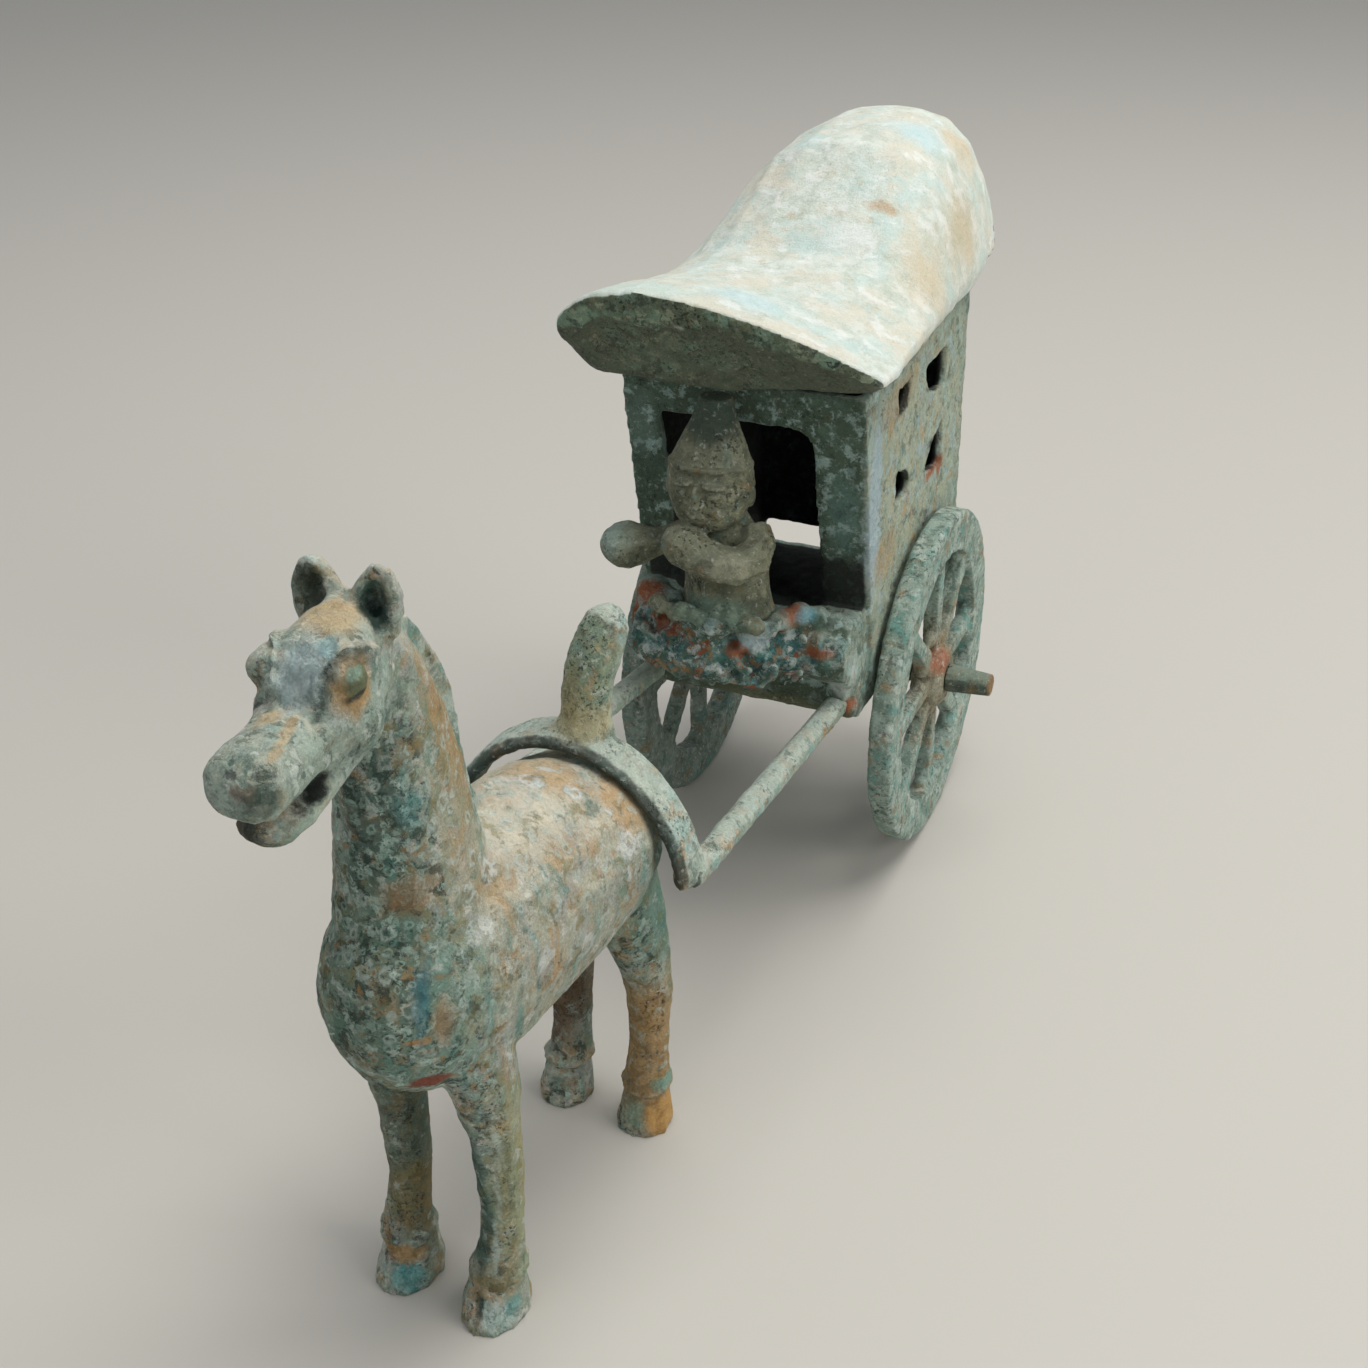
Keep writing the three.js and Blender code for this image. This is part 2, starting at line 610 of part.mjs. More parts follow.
function wheelSolid() {
  const { radius, rimInner, halfTread, trackHalf, spokes, spokeWidth } = WHEEL;
  const { hubRadius, hubInner, hubOuter, hubEndRadius } = WHEEL;
  const round = 0.9;
  const rimProfile = [
    [rimInner, -halfTread + 0.4], [radius - round, -halfTread], [radius, -halfTread + round],
    [radius, halfTread - round], [radius - round, halfTread], [rimInner, halfTread - 0.4],
    [rimInner, -halfTread + 0.4],
  ].map(([r, x]) => new THREE.Vector2(r, x));
  const rim = solid(new THREE.LatheGeometry(rimProfile, 36));
  const bore = AXLE.journal + GAP;
  const hubProfile = [
    [bore, hubInner - trackHalf], [6, hubInner - trackHalf], [hubRadius, -halfTread],
    [hubRadius, halfTread], [7.4, halfTread + 1], [hubEndRadius, hubOuter - trackHalf],
    [bore, hubOuter - trackHalf], [bore, hubInner - trackHalf],
  ].map(([r, x]) => new THREE.Vector2(r, x));
  const hub = solid(new THREE.LatheGeometry(hubProfile, 16));
  const parts = [rim, hub];
  for (let i = 0; i < spokes; i += 1) {
    const length = rimInner - hubRadius + 3;
    const spoke = new THREE.BoxGeometry(length, 2 * halfTread - 2.4, spokeWidth);
    spoke.translate(hubRadius - 1.5 + length / 2, 0, 0);
    spoke.rotateY((2 * PI * i) / spokes);
    parts.push(solid(spoke));
  }
  return join(parts);
}

function placeWheel(name, part, side) {
  const wheel = mesh(name, part, 0x7c9285);
  const turned = new THREE.Group();
  const slide = side < 0 ? WHEEL.farSlide : 0;
  turned.rotation.z = (-side * PI) / 2;
  turned.position.set(side * WHEEL.trackHalf + slide, AXLE.y, AXLE.z);
  turned.add(wheel);
  return turned;
}

const wheelPart = wheelSolid();
const pieces = [
  buildHorse(), buildYokeAndShafts(), buildCarriageBody(), buildRoof(), buildDriver(), buildAxle(),
  placeWheel('wheel_left', wheelPart, 1), placeWheel('wheel_right', wheelPart, -1),
];
const model = new THREE.Group();
model.add(...pieces);

// Origin on the ground at the middle of the whole object's box
const extent = new THREE.Box3().setFromObject(model, true);
const middle = extent.getCenter(v(0, 0, 0));
model.position.set(-middle.x, -middle.y, -extent.min.z);

export default model;
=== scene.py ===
import math
import bpy
import numpy as np
from mathutils import Matrix, Vector


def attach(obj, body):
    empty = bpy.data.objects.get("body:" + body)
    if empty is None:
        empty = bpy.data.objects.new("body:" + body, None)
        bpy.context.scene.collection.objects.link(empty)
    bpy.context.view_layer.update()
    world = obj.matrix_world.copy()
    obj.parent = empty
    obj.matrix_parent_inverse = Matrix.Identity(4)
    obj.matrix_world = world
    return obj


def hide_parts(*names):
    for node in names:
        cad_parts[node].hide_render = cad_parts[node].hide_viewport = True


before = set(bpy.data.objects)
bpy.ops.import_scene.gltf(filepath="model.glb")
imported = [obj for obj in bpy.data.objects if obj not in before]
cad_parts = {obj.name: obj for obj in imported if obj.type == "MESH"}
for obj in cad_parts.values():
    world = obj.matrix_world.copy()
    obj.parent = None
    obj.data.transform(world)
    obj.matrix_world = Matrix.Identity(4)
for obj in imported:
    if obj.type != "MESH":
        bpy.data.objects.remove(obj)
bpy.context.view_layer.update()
MM = 0.001


# Camera: held above and to the left of the horse's head, looking down over its back
# towards the carriage. Place in metres, angles in radians, focal length in picture widths.
CAMERA_AT = (0.14141, -0.31460, 0.28432)
YAW, PITCH, ROLL = 0.416948, 0.52359, -0.020975
SENSOR = 36.0
FOCAL_PIXELS, PICTURE_PIXELS = 1750.0, 1368.0
ahead = Vector((-math.sin(YAW) * math.cos(PITCH),
                math.cos(YAW) * math.cos(PITCH),
                -math.sin(PITCH)))
level = Vector((math.cos(YAW), math.sin(YAW), 0.0))
above = level.cross(ahead)
to_right = level * math.cos(ROLL) + above * math.sin(ROLL)
to_top = above * math.cos(ROLL) - level * math.sin(ROLL)
camera_data = bpy.data.cameras.new("camera")
camera_data.sensor_width = SENSOR
camera_data.lens = SENSOR * FOCAL_PIXELS / PICTURE_PIXELS
camera_data.clip_start = 0.01
camera = bpy.data.objects.new("camera", camera_data)
turn = Matrix((to_right, to_top, -ahead)).transposed().to_4x4()
camera.matrix_world = Matrix.Translation(CAMERA_AT) @ turn
bpy.context.scene.collection.objects.link(camera)
bpy.context.scene.camera = camera
bpy.context.scene.view_settings.view_transform = "Standard"


# Horse: bronze, cast hollow and in one with its thick upright neck, open mouth, short
# ears and four legs, and standing free between the shafts. Crusted with pale green and
# chalk, buff along the back, dark teal down the neck and chest.
HORSE_X = -4.0                       # mm, its middle line at the toes
HORSE_TURN = math.radians(-5.7)      # turned a little off the carriage's line
HEAD_TURN = math.radians(10.0)       # and the head off the body's
BACK_BY = 115.242                    # mm, from the frame's origin to the front toes
UP, FORWARD = (0.0, 0.0, 1.0), (0.0, -1.0, 0.0)


def turned(x, y, angle):
    return (x * math.cos(angle) - y * math.sin(angle),
            x * math.sin(angle) + y * math.cos(angle))


def horse_point(x, y, z):
    """Point given in the horse's own frame, y back from the front toes, in millimetres"""
    px, py = turned(x, y, HORSE_TURN)
    return np.array([px + HORSE_X, py - BACK_BY, z])


def head_point(x, forward, z):
    """Point given in the head's own frame, forward of the line between the ears"""
    px, py = turned(x, -forward, HEAD_TURN)
    return horse_point(px, py, z)


def horse_way(x, y, z):
    return horse_point(x, y, z) - horse_point(0, 0, 0)


def head_way(x, forward, z):
    return head_point(x, forward, z) - head_point(0, 0, 0)


def take(piece):
    """Selects one piece alone"""
    bpy.ops.object.select_all(action="DESELECT")
    piece.select_set(True)
    bpy.context.view_layer.objects.active = piece


def bead(at, size, turn=(0.0, 0.0, 0.0), rings=2):
    """Small rounded form, at and size in millimetres, size being its half lengths"""
    bpy.ops.object.select_all(action="DESELECT")
    bpy.ops.mesh.primitive_ico_sphere_add(subdivisions=rings, radius=1.0, location=(0, 0, 0))
    form = bpy.context.object
    form.scale = [s * MM for s in size]
    form.rotation_euler = turn
    form.location = [c * MM for c in at]
    bpy.ops.object.transform_apply(location=True, rotation=True, scale=True)
    return form


def joined(forms):
    take(forms[0])
    for form in forms[1:]:
        form.select_set(True)
    bpy.ops.object.join()
    return forms[0]


def recast(node, name, added=(), cut=()):
    """Merged copy of a CAD solid with small forms cut out of it and others added to it"""
    piece = bpy.data.objects.new(name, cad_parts[node].data.copy())
    bpy.context.scene.collection.objects.link(piece)
    take(piece)
    bpy.ops.object.mode_set(mode="EDIT")
    bpy.ops.mesh.select_all(action="SELECT")
    bpy.ops.mesh.remove_doubles(threshold=0.02 * MM)
    bpy.ops.object.mode_set(mode="OBJECT")
    if cut:
        cutter = joined(list(cut))
        take(piece)
        carve = piece.modifiers.new("carve", "BOOLEAN")
        carve.operation = "DIFFERENCE"
        carve.use_self = True
        carve.object = cutter
        bpy.ops.object.modifier_apply(modifier="carve")
        bpy.data.objects.remove(cutter, do_unlink=True)
    if added:
        joined([piece] + list(added))
    piece.data.materials.clear()
    return piece


def one_skin(piece, grain, melt):
    """Melts joined forms into one even skin, grain in millimetres, melt in smoothing passes"""
    take(piece)
    remesh = piece.modifiers.new("skin", "REMESH")
    remesh.mode = "VOXEL"
    remesh.voxel_size = grain * MM
    bpy.ops.object.modifier_apply(modifier="skin")
    smooth = piece.modifiers.new("melt", "SMOOTH")
    smooth.factor = 0.5
    smooth.iterations = melt
    bpy.ops.object.modifier_apply(modifier="melt")


def places_of(piece):
    """All corners of a piece in millimetres"""
    places = np.zeros(len(piece.data.vertices) * 3, np.float32)
    piece.data.vertices.foreach_get("co", places)
    return places.reshape(-1, 3).astype(float) / MM


def corrode(piece, size, depth, middle=0.5, free=None):
    """Uneven cast and corroded relief: size and depth in millimetres, middle the share of
    the depth that sinks in, free the share of the depth that each corner takes"""
    pattern = bpy.data.textures.new(piece.name + "_relief", "CLOUDS")
    pattern.noise_scale = size * MM
    pattern.noise_depth = 3
    take(piece)
    relief = piece.modifiers.new("relief", "DISPLACE")
    relief.texture = pattern
    relief.texture_coords = "LOCAL"
    relief.strength = depth * MM
    relief.mid_level = middle
    if free is not None:
        group = piece.vertex_groups.new(name="free")
        steps = np.round(free, 1)
        for step in np.unique(steps):
            group.add(np.nonzero(steps == step)[0].tolist(), float(step), "REPLACE")
        relief.vertex_group = "free"
    bpy.ops.object.modifier_apply(modifier="relief")
    if free is not None:
        piece.vertex_groups.clear()


def press(piece, marks):
    """Moves the skin near each mark: (centre, radius, way) in millimetres, fading to the rim"""
    places = places_of(piece)
    for centre, radius, way in marks:
        centre = np.asarray(centre, float)
        close = np.nonzero(np.all(np.abs(places - centre) < radius, axis=1))[0]
        near = np.linalg.norm(places[close] - centre, axis=1) / radius
        share = np.clip(1.0 - near * near, 0.0, 1.0) ** 2
        places[close] += share[:, None] * np.asarray(way, float)
    piece.data.vertices.foreach_set("co", (places * MM).astype(np.float32).ravel())
    piece.data.update()


def groove(start, end, count, radius, way):
    """Marks in a row from start to end"""
    start, end = np.asarray(start, float), np.asarray(end, float)
    return [(start + (end - start) * i / (count - 1), radius, way) for i in range(count)]


def paint(code):
    """Linear colour from the usual six-figure code"""
    parts = [int(code[i:i + 2], 16) / 255.0 for i in (1, 3, 5)]
    linear = [c / 12.92 if c <= 0.04045 else ((c + 0.055) / 1.055) ** 2.4 for c in parts]
    return tuple(linear) + (1.0,)


class Wiring:
    """Lays out and joins shader nodes in one node tree"""

    def __init__(self, tree):
        self.tree = tree

    def add(self, kind, values=None, **settings):
        made = self.tree.nodes.new(kind)
        for key, value in settings.items():
            setattr(made, key, value)
        for key, value in (values or {}).items():
            self.feed(made.inputs[key], value)
        return made

    def feed(self, socket, value):
        if isinstance(value, bpy.types.NodeSocket):
            self.tree.links.new(value, socket)
        else:
            socket.default_value = value

    def maths(self, operation, a, b):
        return self.add("ShaderNodeMath", {0: a, 1: b}, operation=operation).outputs[0]

    def vector(self, operation, a, b):
        values = {0: a, "Scale": b} if operation == "SCALE" else {0: a, 1: b}
        return self.add("ShaderNodeVectorMath", values, operation=operation).outputs[0]

    def ramp(self, value, low, high):
        return self.add("ShaderNodeMapRange", {0: value, 1: low, 2: high},
                        interpolation_type="SMOOTHSTEP").outputs[0]

    def blend(self, share, under, over, kind="MIX"):
        mixer = self.add("ShaderNodeMix", data_type="RGBA", blend_type=kind)
        for socket, value in ((0, share), (6, under), (7, over)):
            self.feed(mixer.inputs[socket], value)
        return mixer.outputs[2]


def effect(name, takes, gives):
    """Empty shader group with named inputs and outputs"""
    group = bpy.data.node_groups.new(name, "ShaderNodeTree")
    for label, value in takes:
        kind = "NodeSocketVector" if isinstance(value, tuple) else "NodeSocketFloat"
        socket = group.interface.new_socket(name=label, in_out="INPUT", socket_type=kind)
        socket.default_value = value
    for label in gives:
        group.interface.new_socket(name=label, in_out="OUTPUT", socket_type="NodeSocketFloat")
    w = Wiring(group)
    return group, w, w.add("NodeGroupInput").outputs, w.add("NodeGroupOutput").inputs


# Patch of crust with a ragged rim
patch_group, w, given, out = effect("patch", [
    ("Place", (0, 0, 0)), ("Size", 10.0), ("Low", 0.5), ("High", 0.6), ("Shift", 0.0)], ["Mask"])
cloud = w.add("ShaderNodeTexNoise", {
    "Vector": w.vector("ADD", given["Place"], given["Shift"]),
    "Scale": w.maths("DIVIDE", 1.0, given["Size"]), "Detail": 7.0, "Roughness": 0.64})
w.feed(out["Mask"], w.ramp(cloud.outputs["Fac"], given["Low"], given["High"]))

# Chalk rings: pale halos round small blisters, in some places only
ring_group, w, given, out = effect("chalk_rings", [
    ("Place", (0, 0, 0)), ("Size", 6.0), ("Share", 0.5)], ["Ring", "Core"])
cells = w.add("ShaderNodeTexVoronoi", {
    "Vector": given["Place"], "Scale": w.maths("DIVIDE", 1.0, given["Size"])})
lot = w.add("ShaderNodeSeparateColor", {0: cells.outputs["Color"]})
present = w.maths("LESS_THAN", lot.outputs[0], given["Share"])
radius = w.add("ShaderNodeMapRange", {0: lot.outputs[1], 3: 0.18, 4: 0.42}).outputs[0]
frayed = w.add("ShaderNodeTexNoise", {"Vector": given["Place"], "Scale": 0.9, "Detail": 4.0})
wobble = w.maths("MULTIPLY", w.maths("SUBTRACT", frayed.outputs["Fac"], 0.5), 1.3)
inside = w.maths("ADD", w.maths("DIVIDE", cells.outputs["Distance"], radius), wobble)
outer = w.maths("SUBTRACT", 1.0, w.ramp(inside, 0.8, 1.25))
rim = w.maths("MULTIPLY", w.ramp(inside, 0.35, 0.7), outer)
w.feed(out["Ring"], w.maths("MULTIPLY", rim, present))
core = w.maths("SUBTRACT", 1.0, w.ramp(inside, 0.15, 0.45))
w.feed(out["Core"], w.maths("MULTIPLY", core, present))

# Pits: small holes of uneven shape that gather where a slower noise is high
pit_group, w, given, out = effect("pits", [
    ("Place", (0, 0, 0)), ("Size", 1.6), ("Low", 0.5), ("High", 0.6)], ["Hole"])
grain = w.add("ShaderNodeTexNoise", {
    "Vector": given["Place"], "Scale": w.maths("DIVIDE", 1.0, given["Size"]),
    "Detail": 2.0, "Roughness": 0.7})
field = w.add("ShaderNodeTexNoise", {
    "Vector": given["Place"], "Scale": w.maths("DIVIDE", 0.12, given["Size"]), "Detail": 3.0})
gather = w.ramp(field.outputs["Fac"], given["Low"], given["High"])
w.feed(out["Hole"], w.maths("MULTIPLY", w.ramp(grain.outputs["Fac"], 0.56, 0.66), gather))

# Stain: one mark round a place, its rim broken by the wandering coordinates
stain_group, w, given, out = effect("stain", [
    ("Place", (0, 0, 0)), ("Centre", (0, 0, 0)), ("Reach", (5, 5, 5)), ("Soft", 0.5)], ["Mask"])
apart = w.vector("SUBTRACT", given["Place"], given["Centre"])
scaled = w.vector("DIVIDE", apart, given["Reach"])
reach = w.add("ShaderNodeVectorMath", {0: scaled}, operation="LENGTH").outputs["Value"]
nearest = w.maths("SUBTRACT", 1.0, given["Soft"])
farthest = w.maths("ADD", 1.0, given["Soft"])
faded = w.ramp(reach, nearest, farthest)
w.feed(out["Mask"], w.maths("SUBTRACT", 1.0, faded))

# Space: everything inside a box
space_group, w, given, out = effect("space", [
    ("Place", (0, 0, 0)), ("Centre", (0, 0, 0)), ("Half", (10, 10, 10))], ["Mask"])
apart = w.vector("SUBTRACT", given["Place"], given["Centre"])
apart = w.add("ShaderNodeVectorMath", {0: apart}, operation="ABSOLUTE").outputs[0]
over = w.add("ShaderNodeSeparateXYZ", {0: w.vector("SUBTRACT", apart, given["Half"])}).outputs
beyond = w.maths("MAXIMUM", over[0], w.maths("MAXIMUM", over[1], over[2]))
w.feed(out["Mask"], w.maths("SUBTRACT", 1.0, w.ramp(beyond, -0.4, 0.4)))

# Worn edges and darker hollows, from the bend of the surface
wear_group, w, given, out = effect("wear", [
    ("Place", (0, 0, 0)), ("Edge", 0.53), ("Hollow", 0.47)], ["Ridge", "Dip"])
nibble = w.add("ShaderNodeTexNoise", {"Vector": given["Place"], "Scale": 0.5, "Detail": 4.0})
bend = w.maths("ADD", w.add("ShaderNodeNewGeometry").outputs["Pointiness"],
               w.maths("MULTIPLY", w.maths("SUBTRACT", nibble.outputs["Fac"], 0.5), 0.05))
w.feed(out["Ridge"], w.ramp(bend, given["Edge"], w.maths("ADD", given["Edge"], 0.07)))
w.feed(out["Dip"], w.maths("SUBTRACT", 1.0, w.ramp(
    bend, w.maths("SUBTRACT", given["Hollow"], 0.07), given["Hollow"])))


RAGGED, EASED = 6.0, 2.8             # mm, how far the rims of stains and of marks wander
RELIEF = 1.1                         # mm, height of the relief that the layers add up to


class Crust:
    """Old bronze built up in layers, from the bare mottled metal outwards. Each layer has a
    tone, a share from 0 to 1 of how far it covers, and a lift that raises or sinks it.
    Sizes, centres and reaches are in millimetres; low and high set how much is covered."""

    def __init__(self, name, low, high, rough=0.8):
        self.material = bpy.data.materials.new(name)
        self.material.use_nodes = True
        tree = self.material.node_tree
        tree.nodes.clear()
        self.w = w = Wiring(tree)
        self.place = w.vector("SCALE", w.add("ShaderNodeTexCoord").outputs["Object"], 1 / MM)
        wander = w.add("ShaderNodeTexNoise", {
            "Vector": self.place, "Scale": 0.22, "Detail": 7.0, "Roughness": 0.7})
        drift = w.vector("SUBTRACT", wander.outputs["Color"], (0.5, 0.5, 0.5))
        self.ragged = w.vector("ADD", self.place, w.vector("SCALE", drift, RAGGED))
        self.eased = w.vector("ADD", self.place, w.vector("SCALE", drift, EASED))
        self.mottle = w.add("ShaderNodeTexNoise", {
            "Vector": self.place, "Scale": 0.2, "Detail": 10.0, "Roughness": 0.7}).outputs["Fac"]
        self.facing = w.add("ShaderNodeNewGeometry").outputs["Normal"]
        self.colour = w.blend(w.ramp(self.mottle, 0.4, 0.6), paint(low), paint(high))
        self.height = w.maths("MULTIPLY", self.mottle, 0.6)
        self.rough = rough
        self.region = None
        self.shade = None

    def group(self, which, values):
        made = self.w.add("ShaderNodeGroup", node_tree=which)
        for key, value in values.items():
            self.w.feed(made.inputs[key], value)
        return made.outputs

    def cloud(self, place, size, low, high, shift):
        return self.group(patch_group, {
            "Place": place, "Size": size, "Low": low, "High": high, "Shift": shift})["Mask"]

    def spot(self, place, centre, reach, soft):
        return self.group(stain_group, {
            "Place": place, "Centre": tuple(centre), "Reach": tuple(reach), "Soft": soft})["Mask"]

    def lay(self, mask, share, tone, lift=0.0):
        mask = self.w.maths("MULTIPLY", mask, share)
        self.colour = self.w.blend(mask, self.colour, paint(tone))
        if lift:
            raised = self.w.maths("MULTIPLY", mask, lift)
            self.height = self.w.maths("ADD", self.height, raised)

    def region_near(self, centre, reach, soft=0.4):
        """Keeps the local layers that follow to the surroundings of one place"""
        self.region = self.spot(self.ragged, centre, reach, soft)

    def region_facing(self, way, low, high, broken):
        """Keeps the local layers that follow to what faces one way"""
        w = self.w
        rise = w.add("ShaderNodeVectorMath", {0: self.facing, 1: way}, operation="DOT_PRODUCT")
        uneven = w.maths("MULTIPLY", w.maths("SUBTRACT", self.mottle, 0.5), broken)
        self.region = w.ramp(w.maths("ADD", rise.outputs["Value"], uneven), low, high)

    def dust_and_shade(self, tone, share, low=0.1, high=0.8, broken=1.0, way=UP):
        """Layer on what faces one way: crust and dust on what faces up, painted shade on what
        faces forward and down
        """
        self.region_facing(way, low, high, broken)
        self.lay(self.region, share, tone)

    def within(self, mask, local):
        return self.w.maths("MULTIPLY", mask, self.region) if local else mask

    def patch(self, tone, size, low, high, share, shift, lift=0.16, local=False):
        """Scattered patches with ragged rims"""
        mask = self.within(self.cloud(self.ragged, size, low, high, shift), local)
        self.lay(mask, share, tone, lift)

    def pits(self, tone, size, low, high, share=0.85, local=False):
        """Small dark holes"""
        hole = self.group(pit_group, {
            "Place": self.place, "Size": size, "Low": low, "High": high})["Hole"]
        self.lay(self.within(hole, local), share, tone, -1.0)

    def streak(self, tone, size, share, low=0.52, high=0.66, shift=40.0):
        """Runs of one tone drawn out downwards"""
        drawn = self.w.vector("MULTIPLY", self.eased, (1.0, 1.0, 0.14))
        self.lay(self.cloud(drawn, size, low, high, shift), share, tone)

    def stain(self, tone, centre, reach, share, soft=0.4):
        """One stain round a place"""
        self.lay(self.spot(self.ragged, centre, reach, soft), share, tone)

    def mark(self, tone, centre, reach, share, soft=0.3):
        """Like a stain but with a cleaner rim"""
        self.lay(self.spot(self.eased, centre, reach, soft), share, tone)

    def inside(self, tone, centre, half, share):
        """Shade left over everything inside a box, laid after the specks"""
        box = self.group(space_group, {"Place": self.place, "Centre": centre, "Half": half})
        self.shade = box["Mask"], share, tone

    def rings(self, tone, heart, size, share, strength, centre, reach):
        """Chalk rings round blisters, near one place"""
        halo = self.group(ring_group, {"Place": self.eased, "Size": size, "Share": share})
        here = self.spot(self.ragged, centre, reach, 0.5)
        self.lay(self.w.maths("MULTIPLY", halo["Ring"], here), strength, tone, 0.5)
        self.lay(self.w.maths("MULTIPLY", halo["Core"], here), strength * 0.6, heart, -0.5)

    def wear(self, ridge, ridge_share, dip, dip_share):
        """Pale worn edges and a darker tone in the hollows"""
        bend = self.group(wear_group, {"Place": self.place})
        self.lay(bend["Dip"], dip_share, dip)
        self.lay(bend["Ridge"], ridge_share, ridge)

    def finish(self, grit, specks, chalk="#dfe5dc", dirt="#36433b"):
        """Fine chalk and dirt specks, grain and relief, then the metal's own shader"""
        w = self.w
        self.lay(self.cloud(self.place, 1.7, 0.55, 0.66, 11.0), specks, dirt, -0.25)
        self.lay(self.cloud(self.place, 1.3, 0.57, 0.67, 29.0), specks * 0.9, chalk, 0.1)
        if self.shade:
            self.lay(*self.shade)
        grain = w.add("ShaderNodeTexNoise", {
            "Vector": self.place, "Scale": 1.9, "Detail": 6.0, "Roughness": 0.75}).outputs["Fac"]
        self.height = w.maths("ADD", self.height, w.maths("MULTIPLY", grain, grit))
        dull, bright = (0.28, 0.28, 0.28, 1), (0.74, 0.74, 0.74, 1)
        tint = w.blend(w.ramp(grain, 0.32, 0.7), dull, bright)
        self.colour = w.blend(0.4, self.colour, tint, "OVERLAY")
        skin = w.add("ShaderNodeBsdfPrincipled")
        skin.inputs["Specular IOR Level"].default_value = 0.4
        w.feed(skin.inputs["Base Color"], self.colour)
        w.feed(skin.inputs["Roughness"], w.add("ShaderNodeMapRange", {
            0: self.mottle, 1: 0.3, 2: 0.7, 3: self.rough - 0.12, 4: self.rough + 0.1}).outputs[0])
        w.feed(skin.inputs["Normal"], w.add("ShaderNodeBump", {
            "Height": self.height, "Distance": RELIEF * MM, "Strength": 0.9}).outputs[0])
        w.feed(w.add("ShaderNodeOutputMaterial").inputs[0], skin.outputs[0])
        return self.material


def hand_in(piece, material, node, body="body"):
    """Shades a finished piece and gives it its place in the frame"""
    take(piece)
    bpy.ops.object.shade_smooth()
    piece.data.materials.append(material)
    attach(piece, body)
    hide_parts(node)


# Mouth and ears are cut out, the eyes added
EYE_FORWARD, EYE_Z = 13.2, 155.6
hollows, bosses = [], []
for side in (-1, 1):
    hollows.append(bead(head_point(side * 6.0, 24.2, 141.7), (5.0, 4.6, 2.7),
                        (0.25, 0, HORSE_TURN + HEAD_TURN)))
    hollows.append(bead(head_point(side * 5.0, -0.4, 162.0), (1.9, 1.9, 3.6), (0, side * 0.12, 0)))
    bosses.append(bead(head_point(side * 7.4, EYE_FORWARD, EYE_Z), (2.3, 2.8, 2.7), rings=3))
horse = recast("horse", "horse_casting", bosses, hollows)
one_skin(horse, 0.66, 2)


CUFF_STEPS, EYE_STEPS = 24, 18
CUFF_RAISED, CUFF_SUNK = 0.42, 0.5   # mm, the ridge and the groove 2.1 mm under it


def band(x, y, z, half, front, back, drop):
    """Cuff round a leg: a raised ridge with a groove under it, dipping at the front"""
    marks = []
    for step in range(CUFF_STEPS):
        angle = 2 * math.pi * step / CUFF_STEPS
        out, fore = math.cos(angle), math.sin(angle)
        reach = front if fore > 0 else back
        at = horse_point(x + half * out, y - reach * fore, z - drop * max(0.0, fore) ** 2)
        way = horse_way(out, -fore, 0)
        marks.append((at, 1.7, CUFF_RAISED * way))
        marks.append((at - (0, 0, 2.1), 1.4, -CUFF_SUNK * way))
    return marks


# Head: groove round each eye, sunk brow line with a crest over it, nostrils, tips and
# rims of the ears, cheek and jaw
marks = []
BROW = [(4.7, 20.3, 151.6), (5.0, 16.6, 157.1), (6.2, 13.1, 159.4), (8.4, 8.2, 157.9)]
for side in (-1, 1):
    for step in range(EYE_STEPS):
        angle = 2 * math.pi * step / EYE_STEPS
        rim = head_point(side * 7.6, EYE_FORWARD + 4.0 * math.cos(angle),
                         EYE_Z + 3.9 * math.sin(angle))
        marks.append((rim, 1.5, head_way(-side * 0.4, 0, 0)))
    for first, last in zip(BROW, BROW[1:]):
        inner = [(x * side, forward, z) for x, forward, z in (first, last)]
        marks += groove(head_point(*inner[0]), head_point(*inner[1]), 6, 1.4,
                        head_way(-side * 0.5, -0.5, -0.2))
        crest = [(x * side * 0.8, forward + 0.5, z + 0.8) for x, forward, z in (first, last)]
        marks += groove(head_point(*crest[0]), head_point(*crest[1]), 6, 1.4,
                        head_way(side * 0.2, 0.35, 0.4))
    marks += groove(head_point(side * 0.3, 20.4, 151.2), head_point(side * 4.0, 19.4, 151.6),
                    5, 1.4, head_way(0, -0.3, -0.4))
    marks.append((head_point(side * 3.0, 37.0, 150.0), 1.8, head_way(0, -0.9, -0.3)))
    marks.append((head_point(side * 6.2, 0.8, 167.0), 3.0, head_way(side * 0.5, 0, 1.8)))
    marks.append((head_point(side * 8.8, 1.0, 164.0), 2.6, head_way(-side * 0.9, 0, 0)))
    marks.append((head_point(side * 3.4, 1.0, 165.0), 2.4, head_way(side * 0.7, 0, 0)))
    marks += groove(head_point(side * 7.2, 29, 144.6), head_point(side * 7.4, 20, 145.4), 6, 1.7,
                    head_way(side * 0.3, 0, 0))
    marks += groove(head_point(side * 6.2, 27, 140.0), head_point(side * 6.8, 19, 140.6), 6, 1.5,
                    head_way(side * 0.35, 0, 0.1))
# Front legs: cleft of the hoof, shin ridge with a hollow on each side, cuff
for side, lean in ((1, 0.0), (-1, 1.4)):
    toe_x = side * (10.0 + lean) - 0.8
    knee_x = side * (11.7 - lean) - 0.8
    marks += groove(horse_point(toe_x, -0.6, 0.8), horse_point(toe_x, 3.0, 6.4), 8, 1.1,
                    horse_way(0, 0.5, 0))
    marks += groove(horse_point(toe_x, 3.4, 13.0), horse_point(knee_x, 5.0, 52.0), 24, 1.9,
                    horse_way(0, -0.42, 0))
    for off in (-1, 1):
        marks += groove(horse_point(toe_x + 2.6 * off, 4.0, 14.0),
                        horse_point(knee_x + 2.4 * off, 6.0, 50.0), 20, 2.0, horse_way(0, 0.2, 0))
    marks += band(side * (10.2 + lean) - 0.8, 9.4, 11.4, 6.1, 5.9, 6.2, 3.2)
